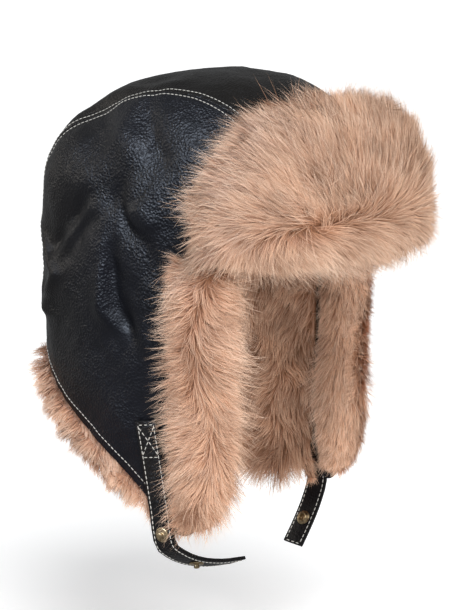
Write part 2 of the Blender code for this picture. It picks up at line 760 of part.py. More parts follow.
def build_socket(name, strap, place):
    """A female snap: ring and open mouth on the inner face, post through the strap, domed cap outside."""
    face = STRAP_THICK / 2 + SNAP_SEAT
    rim = -face - SNAP_KNOB_RISE * 0.75
    profile = (
        (0, -face - SNAP_PLATE * 0.3),
        (SNAP_MOUTH * 0.9, -face - SNAP_PLATE * 0.3),
        (SNAP_MOUTH, rim + SNAP_LIP / 2),
        (SNAP_MOUTH + SNAP_LIP, rim),
        (SNAP_FLANGE * 0.8, rim + SNAP_LIP),
        (SNAP_FLANGE, -face - SNAP_PLATE),
        (SNAP_FLANGE, -face),
        (SNAP_POST, -face),
        (SNAP_POST, face),
        (SNAP_CAP, face),
        (SNAP_CAP, face + SNAP_PLATE * 0.7),
        (SNAP_CAP * 0.6, face + SNAP_PLATE * 1.5),
        (0, face + SNAP_PLATE * 1.7),
    )
    cut_hole(strap, place, SNAP_POST + SNAP_CLEARANCE)
    return turned(name, profile, place, "brass")


def build_chin_strap():
    """The two halves of the chin strap: two studs on the right half and a socket on the left."""
    line, ways, normals, along, leaves = strap_line(1, RIGHT_FREE, RIGHT_HANG)
    right = build_strap("strap_right", line, ways, normals)
    for name, at in (("stud_right_upper", UPPER_STUD_AT), ("stud_right_lower", LOWER_STUD_AT)):
        build_stud(name, right, snap_place(line, ways, normals, along, leaves + at))
    line, ways, normals, along, _ = strap_line(-1, LEFT_FREE, LEFT_HANG)
    left = build_strap("strap_left", line, ways, normals)
    place = snap_place(line, ways, normals, along, along[-1] - SOCKET_FROM_END)
    build_socket("snap_socket_left", left, place)


def main():
    for item in list(bpy.data.objects):
        bpy.data.objects.remove(item)
    under = LEATHER + GAP
    build_strip("crown_strip", 0, LEATHER, 0, "leather")
    build_strip("lining_crown", under, LINING_PILE, LINING_LOCK, "lining fur", HEM_ROWS)
    for word, side in (("right", 1), ("left", -1)):
        build_side("side_panel_" + word, side, 0, LEATHER, 0, "leather")
        build_side(
            "lining_side_" + word, side, under, LINING_PILE, LINING_LOCK, "lining fur", CUFF_COLUMNS, HEM_ROWS
        )
        build_cuff("flap_cuff_" + word, side)
    build_brim_flap()
    build_brim_fur()
    build_chin_strap()


main()
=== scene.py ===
"""Looks of the ushanka: grained black leather, white topstitching, brass snaps and combed tan fur.

Metres, +Z up. The front of the hat faces -Y and the wearer's right is -X. Angles are in degrees round the
head from the front, rising towards the wearer's right. Turns are in degrees over the head from the front to
the nape. Depths are below the outer top of the crown before it sank.
"""

import math

import bpy
import numpy as np
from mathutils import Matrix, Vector, bvhtree, kdtree


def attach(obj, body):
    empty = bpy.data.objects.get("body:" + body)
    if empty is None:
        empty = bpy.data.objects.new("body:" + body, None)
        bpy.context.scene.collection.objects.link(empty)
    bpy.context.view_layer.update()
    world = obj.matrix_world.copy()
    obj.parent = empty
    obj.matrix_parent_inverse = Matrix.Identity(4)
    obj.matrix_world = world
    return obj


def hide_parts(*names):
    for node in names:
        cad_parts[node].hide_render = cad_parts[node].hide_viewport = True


bl_info = {
    "name": "Ushanka",
    "version": (1, 0, 0),
    "blender": (4, 5, 0),
    "location": "View3D > Sidebar > Ushanka",
    "description": "Leather, stitching, snaps and fur for a trapper hat",
    "category": "Object",
}

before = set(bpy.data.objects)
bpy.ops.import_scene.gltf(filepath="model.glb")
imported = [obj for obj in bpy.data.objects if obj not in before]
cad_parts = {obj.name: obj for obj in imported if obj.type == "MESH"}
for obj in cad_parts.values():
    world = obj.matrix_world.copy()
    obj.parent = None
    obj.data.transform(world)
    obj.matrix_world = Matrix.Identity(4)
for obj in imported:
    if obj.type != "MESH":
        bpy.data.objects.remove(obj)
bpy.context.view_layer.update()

# The smooth form that the solids follow
HALF_WIDTH = 0.098
FRONT_REACH = 0.122
BACK_REACH = 0.128
CROWN_RISE = 0.108
DOME_POWER = 2.7
PLAN_POWER = 2.25
SIDE_TAPER = 0.05
FRONT_TAPER = 0.10
BACK_TAPER = 0.02
BACK_SAG = 0.0105
SEAT_SAG = 0.35
BROW_DEPTH = 0.118
NAPE_DEPTH = 0.208
FLAP_DEPTH = 0.316
LEATHER = 0.0022
GAP = 0.0003
LINING_WALL = 0.0127
CROWN_TOP = LEATHER + GAP + LINING_WALL + BACK_SAG * SEAT_SAG
WIDEST_Z = CROWN_TOP - CROWN_RISE
BROW_Z = CROWN_TOP - BROW_DEPTH
TURN_LENGTH = 0.002
BROW_TURN = -(BROW_DEPTH - CROWN_RISE) / TURN_LENGTH
NAPE_TURN = 180 + (NAPE_DEPTH - CROWN_RISE) / TURN_LENGTH
STRIP_HALF_WIDTH = 0.058
BRIM_HEIGHT = 0.092
BRIM_PART_RISE = 0.31
BRIM_WHORL = 41
CUFF_ANGLE = 67.2
STRAP_WIDTH = 0.017
STRAP_THICK = 0.0024

# Hem of the skirt: angle, depth as a share of FLAP_DEPTH
HEM = (
    (52, 0.895),
    (54, 0.936),
    (57, 0.969),
    (61, 0.992),
    (66, 1.000),
    (71, 0.982),
    (76, 0.948),
    (82, 0.916),
    (90, 0.880),
    (98, 0.850),
    (107, 0.818),
    (119, 0.779),
    (133, 0.733),
    (144, 0.696),
    (152, 0.669),
    (158, 0.6582),
    (180, 0.6582),
)

# How much lower the hem of the left flap hangs behind the ear: angle, share of FLAP_DEPTH
LEFT_SLUMP = (
    (70, 0.0),
    (78, 0.0),
    (88, 0.045),
    (98, 0.09),
    (114, 0.12),
    (126, 0.10),
    (140, 0.02),
    (148, 0.0),
    (180, 0.0),
)

# Crown strip: share of the way from brow to nape, half width as a share of STRIP_HALF_WIDTH
STRIP = (
    (0.00, 1.06),
    (0.20, 1.02),
    (0.38, 0.95),
    (0.55, 0.96),
    (0.72, 1.02),
    (0.85, 0.97),
    (1.00, 0.84),
)

# Sunken crown: place as a share of BACK_REACH behind the head seat, sag as a share of BACK_SAG
SAG = ((-0.50, 0.0), (-0.27, 0.0), (0.00, SEAT_SAG), (0.35, 1.0), (1.00, 1.0))

# Slack leather at the back of the crown: turn over the head, and how far it sinks at the seams and midway
SLACK = (
    (74, 0.0, 0.0),
    (84, -0.0008, -0.0012),
    (92, -0.0030, -0.0028),
    (100, -0.0045, -0.0034),
    (107, -0.0050, -0.0036),
    (113, -0.0036, -0.0036),
    (119, 0.0006, -0.0026),
    (125, 0.0044, -0.0006),
    (131, 0.0062, 0.0016),
    (138, 0.0038, 0.0030),
    (147, 0.0004, 0.0040),
    (157, -0.0010, 0.0024),
    (172, 0.0, 0.0),
)
SLACK_REACH = 0.024
RIDGE_RISE = 0.0022
RIDGE_PLACE = 0.012
RIDGE_WIDTH = 0.007

# How the edges of two panels are brought together, and how deep the welt between them lies
SEAM_PROBE = 0.0028
SEAM_BLEND = 0.014
SEAM_DIP = 0.0005
WELT_DEPTH = 0.0006

# Creases that sharpen the folds of the solids: side, from angle and depth share, to angle and depth share,
# half width as a share of CREASE_WIDTH and rise as a share of CREASE_RISE, below zero for a valley
CREASE_WIDTH = 0.010
CREASE_RISE = 0.0040
CREASES = (
    (1, 99, 0.04, 79, 0.155, 0.9, -1.1),
    (1, 106, 0.10, 96, 0.17, 1.2, 0.8),
    (1, 78, 0.175, 118, 0.28, 1.3, -1.0),
    (1, 92, 0.19, 84, 0.235, 1.3, 0.9),
    (1, 96, 0.255, 80, 0.37, 0.7, -1.2),
    (1, 88, 0.24, 76, 0.33, 0.9, 0.9),
    (1, 66, 0.21, 62, 0.28, 0.6, -0.9),
    (1, 97, 0.39, 90, 0.55, 0.8, -1.2),
    (1, 104, 0.40, 98, 0.52, 1.0, 0.8),
    (1, 86, 0.42, 80, 0.60, 1.2, 0.6),
    (1, 118, 0.28, 136, 0.38, 0.7, -1.0),
    (1, 110, 0.32, 124, 0.41, 0.7, -0.8),
    (1, 150, 0.38, 128, 0.435, 0.6, 1.1),
    (1, 128, 0.445, 141, 0.54, 0.6, 1.0),
    (1, 152, 0.50, 134, 0.57, 0.5, 0.8),
    (-1, 98, 0.06, 80, 0.17, 0.9, -1.0),
    (-1, 78, 0.20, 116, 0.31, 1.1, -1.0),
    (-1, 92, 0.29, 83, 0.43, 0.8, -1.1),
    (-1, 103, 0.36, 97, 0.50, 1.0, 0.8),
    (-1, 128, 0.33, 140, 0.45, 0.8, -0.9),
    (-1, 148, 0.40, 126, 0.45, 0.7, 0.9),
)

# Parting of a cuff's pile: depth, angle
CUFF_PART = (
    (0.118, 52),
    (0.138, 56),
    (0.166, 59),
    (0.199, 59),
    (0.215, 56),
    (0.232, 53),
    (0.252, 53),
    (0.272, 56),
    (0.288, 61),
)

# Free ends of the chin strap: inward, forward and downward, as shares of the free length
STRAP_TOP = (80.5, 0.234)
STRAP_EXIT = (73.5, 0.300)
STRAP_EXIT_STAND = 0.0022
RIGHT_FREE = 0.090
LEFT_FREE = 0.070
RIGHT_HANG = (
    (-0.005, 0.02, 0.12),
    (0.005, 0.045, 0.235),
    (0.115, 0.08, 0.335),
    (0.28, 0.115, 0.42),
    (0.47, 0.155, 0.475),
    (0.72, 0.20, 0.51),
)
LEFT_HANG = (
    (0.00, 0.00, 0.24),
    (0.07, -0.02, 0.48),
    (0.20, -0.045, 0.71),
    (0.35, -0.07, 0.92),
)
UPPER_STUD_AT = 0.0135
LOWER_STUD_AT = 0.054
SOCKET_FROM_END = 0.021
BOX_START = 0.002
BOX_END = 0.0225
PLATE_GAP = 0.0001

# Angles between which the hem is sewn, and half the length sewn at the nape
HEM_ANGLES = (55, 158)
NAPE_HEM = 0.047

# How far the base of each pile is drawn in, and the length of its hair
BRIM_INSET = 0.0085
CUFF_INSET = 0.0050
LINING_INSET = 0.0040
BRIM_LENGTH = 0.0235
CUFF_LENGTH = 0.0175
LINING_LENGTH = 0.0145
FAR_FRINGE = 0.022

# Linings: node and number of hairs
LININGS = (("lining_side_right", 26000), ("lining_side_left", 40000), ("lining_crown", 15000))

# How a pile stands up, bends over and gathers into locks. Steps are the places along a hair, a lock is a
# number of hairs, and thick is a share of the hair width.
BRIM_PILE = dict(
    steps=(0, 0.5, 1), lift=0.46, fall=0.55, droop=0.05, lock=26, gather=0.75, pinch=0.75, sway=0.22,
    loose=0.16, uneven=0.3, frizz=0.0006, twist=0.7, thick=1.25, soft=1.3,
)
CUFF_PILE = dict(
    BRIM_PILE, fall=0.6, droop=0.06, lock=22, gather=0.7, pinch=0.7, sway=0.25, loose=0.18, thick=1.2,
)
LINING_PILE = dict(
    BRIM_PILE, lift=0.42, fall=0.5, droop=0.12, lock=24, sway=0.30, loose=0.18, uneven=0.35, frizz=0.0007,
)
WISPS = dict(steps=(0, 0.35, 0.7, 1), lock=7, uneven=0.6, frizz=0.0015, thick=0.8)
BRIM_WISPS = dict(BRIM_PILE, gather=0.45, loose=0.25, **WISPS)
CUFF_WISPS = dict(CUFF_PILE, lift=0.42, gather=0.5, loose=0.26, **WISPS)

CAMERA_PLACE = (-1.4061, -1.0596, 0.2431)
CAMERA_WAY = (0.7812, 0.5886, -0.2079)
CAMERA_LENS = 148.7
CAMERA_SHIFT = (0.0279, -0.0492)

DOWN = np.array([0.0, 0.0, -1.0])
SIDE_APART = 0.03


# Form


def unit(vectors):
    return vectors / np.maximum(np.linalg.norm(vectors, axis=-1, keepdims=True), 1e-9)


def climb(value, start, end):
    """0 up to the start, 1 from the end on, and straight between."""
    return np.clip((value - start) / (end - start), 0, 1)


def bell(value, width):
    return np.exp(-((value / width) ** 2))


def lengths_along(points):
    """Length of a path up to each of its points."""
    return np.concatenate([[0], np.cumsum(np.linalg.norm(np.diff(points, axis=0), axis=1))])


def at_lengths(values, lengths, at):
    """Rows of values read at lengths along their path."""
    return np.stack([np.interp(at, lengths, axis) for axis in values.T], -1)


def read_table(rows, at):
    """A smooth value read from rows of place and value."""
    places, values = np.array(rows, float).T
    slopes = np.gradient(values, places)
    flat = np.diff(values) == 0
    slopes[:-1][flat] = 0
    slopes[1:][flat] = 0
    at = np.clip(np.asarray(at, float), places[0], places[-1])
    index = np.clip(np.searchsorted(places, at) - 1, 0, len(places) - 2)
    width = places[index + 1] - places[index]
    share = (at - places[index]) / width
    start = (1 + 2 * share) * (1 - share) ** 2 * values[index]
    end = (3 - 2 * share) * share**2 * values[index + 1]
    lean = share * (1 - share) * width
    return start + end + lean * ((1 - share) * slopes[index] - share * slopes[index + 1])


def reaches(height):
    below = np.clip((WIDEST_Z - height) / (FLAP_DEPTH - CROWN_RISE), 0, 1)
    return (
        HALF_WIDTH * (1 - SIDE_TAPER * below),
        FRONT_REACH * (1 - FRONT_TAPER * below),
        BACK_REACH * (1 - BACK_TAPER * below),
    )


def level(points):
    """1 on the smooth form, less inside it and more outside."""
    x, y, z = np.moveaxis(points, -1, 0)
    half_width, front, back = reaches(z)
    plan = np.abs(x / half_width) ** PLAN_POWER + np.abs(y / np.where(y < 0, front, back)) ** PLAN_POWER
    rise = np.clip((z - WIDEST_Z) / CROWN_RISE, 0, None)
    return plan ** (DOME_POWER / PLAN_POWER) + rise**DOME_POWER


def outward(points):
    slopes = [level(points + step) - level(points - step) for step in np.eye(3) * 1e-4]
    return unit(np.stack(slopes, -1))


def around(angle, height):
    """Points of the smooth form at angles round the head and heights."""
    angle = np.radians(np.asarray(angle, float))
    height = np.asarray(height, float)
    half_width, front, back = reaches(height)
    rise = np.clip((height - WIDEST_Z) / CROWN_RISE, 0, 1)
    shrink = (1 - rise**DOME_POWER) ** (1 / DOME_POWER)
    side = np.abs(np.sin(angle) / half_width) ** PLAN_POWER
    ahead = np.abs(np.cos(angle) / np.where(np.cos(angle) > 0, front, back)) ** PLAN_POWER
    radius = shrink * (side + ahead) ** (-1 / PLAN_POWER)
    return np.stack(np.broadcast_arrays(-radius * np.sin(angle), -radius * np.cos(angle), height), -1)


def over(sideways, turn):
    """Points of the smooth form at offsets to the side and turns over the head."""
    sideways, turn = np.broadcast_arrays(np.asarray(sideways, float), np.asarray(turn, float))
    below = np.clip(-turn, 0, None) + np.clip(turn - 180, 0, None)
    lean = np.radians(np.clip(turn, 0, 180))
    start = np.stack([sideways, np.zeros_like(sideways), WIDEST_Z - below * TURN_LENGTH], -1)
    ray = np.stack([np.zeros_like(lean), -np.cos(lean), np.sin(lean)], -1)
    near, far = np.zeros_like(lean), np.full_like(lean, BACK_REACH + CROWN_RISE)
    for _ in range(40):
        middle = (near + far) / 2
        inside = level(start + ray * middle[..., None]) < 1
        near, far = np.where(inside, middle, near), np.where(inside, far, middle)
    return start + ray * near[..., None]


def sunk(points):
    """Points of the smooth form moved down as the crown has sunk."""
    rise = np.clip((points[..., 2] - WIDEST_Z) / CROWN_RISE, 0, 1)
    moved = points.copy()
    moved[..., 2] -= BACK_SAG * rise * read_table(SAG, points[..., 1] / BACK_REACH)
    return moved


def angle_of(points):
    return np.degrees(np.arctan2(-points[..., 0], -points[..., 1]))


def hem_depth(angle, side=1):
    share = read_table(HEM, angle)
    if side < 0:
        share = share + read_table(LEFT_SLUMP, angle)
    return FLAP_DEPTH * share


def strip_half_width(turn):
    return STRIP_HALF_WIDTH * read_table(STRIP, (turn - BROW_TURN) / (NAPE_TURN - BROW_TURN))


def ripple(points, size, seed, count=14):
    """Smooth noise of about unit strength, with lumps of a size."""
    rng = np.random.default_rng(seed)
    waves = unit(rng.normal(size=(count, 3))) * rng.uniform(0.6, 1.5, (count, 1)) * math.tau / size
    phases = rng.uniform(0, math.tau, count)
    return np.sin(points @ waves.T + phases).sum(-1) * math.sqrt(2 / count)


def drift(points, size, seed):
    return np.stack([ripple(points, size, seed + axis) for axis in range(3)], -1)


# Meshes


def select_only(item):
    bpy.ops.object.select_all(action="DESELECT")
    item.select_set(True)
    bpy.context.view_layer.objects.active = item


def object_of(name, data):
    item = bpy.data.objects.new(name, data)
    bpy.context.scene.collection.objects.link(item)
    return item


def copy_of(node, name):
    """An editable copy of a CAD node, its loose triangles joined and paired into quads."""
    item = object_of(name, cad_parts[node].data.copy())
    item.data.materials.clear()
    select_only(item)
    bpy.ops.object.mode_set(mode="EDIT")
    bpy.ops.mesh.select_all(action="SELECT")
    bpy.ops.mesh.remove_doubles(threshold=2e-5)
    bpy.ops.mesh.tris_convert_to_quads(face_threshold=math.radians(60), shape_threshold=math.radians(80))
    bpy.ops.object.mode_set(mode="OBJECT")
    bpy.ops.mesh.customdata_custom_splitnormals_clear()
    bpy.ops.object.shade_smooth()
    return item


def apply_modifier(item, kind, **settings):
    select_only(item)
    made = item.modifiers.new(kind.lower(), kind)
    for key, value in settings.items():
        setattr(made, key, value)
    bpy.ops.object.modifier_apply(modifier=made.name)


def refine(item, levels):
    apply_modifier(item, "SUBSURF", levels=levels, render_levels=levels)


def bevel(item, width, segments, degrees):
    """Rounds the edges that are sharper than an angle."""
    angle = math.radians(degrees)
    apply_modifier(item, "BEVEL", width=width, segments=segments, limit_method="ANGLE", angle_limit=angle)


def points_of(item, key="co"):
    values = np.empty(len(item.data.vertices) * 3)
    item.data.vertices.foreach_get(key, values)
    return values.reshape(-1, 3)


def normals_of(item):
    return points_of(item, "normal")


def set_points(item, points):
    item.data.vertices.foreach_set("co", points.ravel())
    item.data.update()


def join_piece(item, slot, material, *nodes):
    """Gives a finished piece its body and its finish, and hides the CAD nodes that it stands for."""
    item.data.materials.clear()
    item.data.materials.append(material)
    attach(item, "root")
    if nodes:
        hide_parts(*nodes)
    return item


def mesh_object(name, points, triangles):
    mesh = bpy.data.meshes.new(name)
    mesh.vertices.add(len(points))
    mesh.vertices.foreach_set("co", points.ravel())
    mesh.loops.add(len(triangles) * 3)
    mesh.loops.foreach_set("vertex_index", triangles.ravel())
    mesh.polygons.add(len(triangles))
    mesh.polygons.foreach_set("loop_start", np.arange(0, len(triangles) * 3, 3))
    mesh.update(calc_edges=True)
    mesh.shade_smooth()
    return object_of(name, mesh)


def tree_of(items):
    """A search tree of the surfaces of several pieces."""
    points, faces = [], []
    for item in items:
        first = len(points)
        points += [vertex.co.copy() for vertex in item.data.vertices]
        faces += [[first + i for i in face.vertices] for face in item.data.polygons]
    return bvhtree.BVHTree.FromPolygons(points, faces)


def landed(tree, points, ways, reach=0.012):
    """Where points land on a surface along the opposite of their ways, and the surface's normals there."""
    places, normals = points.copy(), ways.copy()
    for i, (point, way) in enumerate(zip(points, ways)):
        hit, normal, _, _ = tree.ray_cast(Vector(point + way * reach), Vector(-way), 2 * reach)
        if hit is not None:
            places[i] = hit
            normals[i] = normal if normal.dot(Vector(way)) > 0 else -normal
    return places, normals


# Materials


class Nodes:
    """A short way to wire a material's nodes."""

    def __init__(self, name):
        self.material = bpy.data.materials.new(name)
        self.material.use_nodes = True
        self.tree = self.material.node_tree
        self.shader = self.tree.nodes["Principled BSDF"]

    def add(self, kind, inputs=(), **settings):
        node = self.tree.nodes.new(kind)
        for key, value in settings.items():
            setattr(node, key, value)
        for key, value in dict(inputs).items():
            self.set(node, key, value)
        return node

    def set(self, node, key, value):
        if isinstance(value, bpy.types.NodeSocket):
            self.tree.links.new(value, node.inputs[key])
        else:
            node.inputs[key].default_value = value

    def where(self):
        return self.add("ShaderNodeTexCoord").outputs["Object"]

    def finish(self, values):
        """Sets the shader's inputs and gives the finished material."""
        for key, value in values.items():
            self.set(self.shader, key, value)
        return self.material

    def ramp(self, factor, stops):
        node = self.add("ShaderNodeValToRGB", {0: factor})
        elements = node.color_ramp.elements
        while len(elements) < len(stops):
            elements.new(0.5)
        for element, (place, colour) in zip(elements, stops):
            element.position = place
            element.color = (*colour, 1) if len(colour) == 3 else colour
        return node.outputs["Color"]

    def span(self, value, low, high, to_low, to_high):
        node = self.add("ShaderNodeMapRange", {0: value, 1: low, 2: high, 3: to_low, 4: to_high})
        return node.outputs[0]

    def noise(self, where, scale, detail=4.0, roughness=0.55, distortion=0.0):
        inputs = {
            "Vector": where,
            "Scale": scale,
            "Detail": detail,
            "Roughness": roughness,
            "Distortion": distortion,
        }
        return self.add("ShaderNodeTexNoise", inputs).outputs["Fac"]

    def bump(self, height, strength, distance, normal=None):
        node = self.add("ShaderNodeBump", {"Height": height, "Strength": strength, "Distance": distance})
        if normal is not None:
            self.set(node, "Normal", normal)
        return node.outputs["Normal"]

    def blend(self, factor, first, second, kind="MIX"):
        node = self.add("ShaderNodeMix", data_type="RGBA", blend_type=kind)
        for socket, value in zip((node.inputs[0], node.inputs[6], node.inputs[7]), (factor, first, second)):
            if isinstance(value, bpy.types.NodeSocket):
                self.tree.links.new(value, socket)
            else:
                socket.default_value = value if isinstance(value, float) else (*value, 1)
        return node.outputs[2]


def leather_material(name, look, painted_warm_sheen):
    """Nappa with a pebbled grain. Its colour goes from blue-black at the front to brown-black towards the
    nape, a painted tint that stands in for the cool sheen at the sides and the warm reflection at the back.
    The last argument is the share of the painted warm tint at the front.
    """
    nodes = Nodes(name)
    where = nodes.where()
    patches = nodes.noise(where, 16, 3.0)
    # Painted reflection tint on the near-black leather: cool blue-black for the sheen at the sides, and warm
    # brown-black towards the nape for the warm reflection there; both with random patches.
    cool = nodes.ramp(patches, ((0.35, (0.0028, 0.0031, 0.0054)), (0.75, (0.0058, 0.0062, 0.0100))))
    warm = nodes.ramp(patches, ((0.35, (0.0046, 0.0036, 0.0027)), (0.75, (0.0090, 0.0072, 0.0054))))
    y = nodes.add("ShaderNodeSeparateXYZ", {0: where}).outputs["Y"]
    colour = nodes.blend(nodes.span(y, 0.02, 0.11, painted_warm_sheen, 1.0), cool, warm)
    pebbles = nodes.add(
        "ShaderNodeTexVoronoi",
        {"Vector": where, "Scale": 1 / look.grain, "Smoothness": 0.3, "Randomness": 1.0},
        feature="SMOOTH_F1",
    ).outputs["Distance"]
    grain = nodes.noise(where, 1.1 / look.grain, 4.0, 0.6)
    lines = nodes.noise(where, 60, 4.0, 0.55, 0.6)
    normal = nodes.bump(lines, 0.35, 0.0020)
    normal = nodes.bump(grain, 0.3, 0.0010, normal)
    smooth = nodes.span(nodes.noise(where, 30, 2.0), 0.35, 0.6, 0.25, 1.0)
    pebbles = nodes.add("ShaderNodeMath", {0: pebbles, 1: smooth}, operation="MULTIPLY").outputs[0]
    normal = nodes.bump(pebbles, 0.65, 0.0013, normal)
    rough = nodes.span(grain, 0.3, 0.7, look.gloss - 0.06, look.gloss + 0.12)
    return nodes.finish(
        {"Base Color": colour, "Normal": normal, "Roughness": rough, "Specular IOR Level": 0.13}
    )


def thread_material(look):
    nodes = Nodes("white thread")
    where = nodes.where()
    fibres = nodes.noise(where, 2600, 2.0)
    shade = nodes.ramp(fibres, ((0.3, [c * 0.72 for c in look.thread]), (0.7, tuple(look.thread))))
    normal = nodes.bump(fibres, 0.6, 0.0002)
    return nodes.finish({"Base Color": shade, "Normal": normal, "Roughness": 0.75})


def brass_material():
    nodes = Nodes("aged brass")
    where = nodes.where()
    tarnish = nodes.noise(where, 420, 4.0)
    tones = ((0.35, (0.16, 0.11, 0.06)), (0.6, (0.42, 0.32, 0.19)), (0.8, (0.56, 0.45, 0.29)))
    colour = nodes.ramp(tarnish, tones)
    rough = nodes.span(tarnish, 0.3, 0.7, 0.46, 0.28)
    normal = nodes.bump(tarnish, 0.25, 0.0002)
    return nodes.finish({"Base Color": colour, "Roughness": rough, "Normal": normal, "Metallic": 1.0})


def hair_material(name, fur, light, frost=0.0):
    """Hair that runs from a brown root to a pale tip. Light scales its colours: for the cuffs and the lining
    it is painted light against the shade they lie in, and for the near hem it makes a painted lit copy of the
    lining hair. Frost whitens its tip.
    """
    nodes = Nodes(name)
    along = nodes.add("ShaderNodeAttribute", attribute_name="along").outputs["Fac"]
    shade = nodes.add("ShaderNodeAttribute", attribute_name="shade").outputs["Fac"]
    root, body, tip = ([value * light for value in colour] for colour in (fur.root, fur.body, fur.tip))
    tip = [value + frost * (white - value) for value, white in zip(tip, (0.86, 0.74, 0.62))]
    hair = nodes.ramp(along, ((0.0, root), (0.38, body), (0.9, tip)))
    tint = nodes.ramp(shade, ((0.0, (0.52, 0.44, 0.38)), (0.5, (1.0, 1.0, 1.0)), (1.0, (1.22, 1.2, 1.16))))
    colour = nodes.blend(1.0, hair, tint, "MULTIPLY")
    return nodes.finish({"Base Color": colour, "Roughness": 0.62, "Specular IOR Level": 0.30})


def skin_material(name, fur):
    """The felted base of the pile, seen only between the hairs. Its tufts run from the root colour darkened
    with painted shade, for the shade deep in the pile, to a paler brown.
    """
    nodes = Nodes(name)
    where = nodes.where()
    tufts = nodes.noise(where, 260, 4.0, 0.7)
    painted_shade_root = [value * 0.75 for value in fur.root]
    pale = [(root + body) / 2 for root, body in zip(fur.root, fur.body)]
    colour = nodes.ramp(tufts, ((0.3, painted_shade_root), (0.75, pale)))
    return nodes.finish({"Base Color": colour, "Normal": nodes.bump(tufts, 0.9, 0.002), "Roughness": 0.9})


# Leather


def crease_rise(points):
    """How far the sharper creases lift or press the leather."""
    angle, depth = angle_of(points), CROWN_TOP - points[..., 2]
    girth = math.radians(1) * (HALF_WIDTH + BACK_REACH) / 2
    rise = np.zeros(angle.shape)
    for side, start_angle, start_depth, end_angle, end_depth, width, height in CREASES:
        along = np.array([(end_angle - start_angle) * girth, (end_depth - start_depth) * FLAP_DEPTH])
        place = np.stack([(side * angle - start_angle) * girth, depth - start_depth * FLAP_DEPTH], -1)
        place = place + 0.004 * np.stack([ripple(points, 0.05, 5), ripple(points, 0.05, 6)], -1)
        share = np.clip(place @ along / (along @ along), 0, 1)
        distance = np.linalg.norm(place - share[..., None] * along, axis=-1)
        taper = np.sqrt(np.clip(4 * share * (1 - share), 0.15, 1))
        rise += height * CREASE_RISE * taper * np.exp(-((distance / (width * CREASE_WIDTH)) ** 2))
    below_top = np.clip((depth - 0.008) / 0.03, 0.15, 1)
    return rise * climb(np.abs(angle), CUFF_ANGLE - 6, CUFF_ANGLE + 6) * below_top


def seam_place(points):
    """Turn over the head of each point, and how far outside the crown seam it lies."""
    below = np.clip(WIDEST_Z - points[:, 2], 0, None) / TURN_LENGTH
    lean = np.degrees(np.arctan2(np.clip(points[:, 2] - WIDEST_Z, 0, None), -points[:, 1]))
    turn = lean + np.where(points[:, 1] < 0, -below, below)
    return turn, np.abs(points[:, 0]) - strip_half_width(turn)


def slack_drop(points):
    """How far the slack crown hangs in at the back, where no head fills it."""
    turn, away = seam_place(points)
    rows = np.array(SLACK)
    seam, middle = read_table(rows[:, (0, 1)], turn), read_table(rows[:, (0, 2)], turn)
    share = np.clip(-away / SLACK_REACH, 0, 1)
    share = share * share * (3 - 2 * share)
    fade = np.exp(-((np.clip(away, 0, None) / SLACK_REACH) ** 2))
    ridge = RIDGE_RISE * climb(turn, 80, 94) * climb(turn, 160, 140)
    return (seam + (middle - seam) * share) * fade - ridge * bell(away + RIDGE_PLACE, RIDGE_WIDTH)


def creased(points, lumps):
    """Points of the hat moved with the creases and the soft lumps of its walls."""
    lump = lumps * (ripple(points, 0.042, 21) + 0.35 * ripple(points, 0.017, 22))
    return points + outward(points) * (crease_rise(points) - slack_drop(points) + lump)[:, None]


def build_leather(name, node, levels, lumps, look, painted_warm_sheen):
    """A leather shell: the solid's shape, rounded at its cut edges and softly creased."""
    item = copy_of(node, name)
    bevel(item, 0.0005, 1, 50)
    refine(item, levels)
    set_points(item, creased(points_of(item), lumps))
    return join_piece(item, "leather", leather_material(name.replace("_", " "), look, painted_warm_sheen), node)


def close_seams(strip, panels):
    """Brings the strip and the panels to one height along their seams."""
    turns = np.linspace(BROW_TURN + 2, NAPE_TURN - 1, 300)
    strip_tree = tree_of([strip])
    for side, panel in panels:
        heights = []
        for tree, shift in ((strip_tree, -SEAM_PROBE), (tree_of([panel]), SEAM_PROBE)):
            path = over(-side * (strip_half_width(turns) + shift), turns)
            ways = outward(path)
            hits, _ = landed(tree, sunk(path), ways)
            heights.append(((hits - sunk(path)) * ways).sum(1))
        middle = sum(heights) / 2
        for item, height in zip((strip, panel), heights):
            points = points_of(item)
            turn, away = seam_place(points)
            step = np.interp(turn, turns, middle - height)
            fade = bell(away, SEAM_BLEND) * (points[:, 0] * side < 0)
            dip = -SEAM_DIP * bell(away, SEAM_PROBE) * (points[:, 0] * side < 0)
            set_points(item, points + outward(points) * (step * fade + dip)[:, None])


# Stitches


def stitch_model(look):
    """Points and faces of one stitch, along X with Z out of the leather, its faces in a fixed order."""
    bpy.ops.object.select_all(action="DESELECT")
    bpy.ops.mesh.primitive_uv_sphere_add(segments=5, ring_count=4, radius=1)
    item = bpy.context.object
    bpy.ops.object.mode_set(mode="EDIT")
    bpy.ops.mesh.quads_convert_to_tris()
    bpy.ops.object.mode_set(mode="OBJECT")
    points = points_of(item)[:, [2, 0, 1]]
    points[:, 0] = np.sign(points[:, 0]) * np.abs(points[:, 0]) ** 0.7
    points *= np.array([look.stitch / 2, look.width / 2, look.width * 0.42])
    faces = [np.roll(face.vertices, -np.argmin(face.vertices)) for face in item.data.polygons]
    faces = np.array(sorted(face.tolist() for face in faces))
    bpy.data.objects.remove(item)
    return points, faces


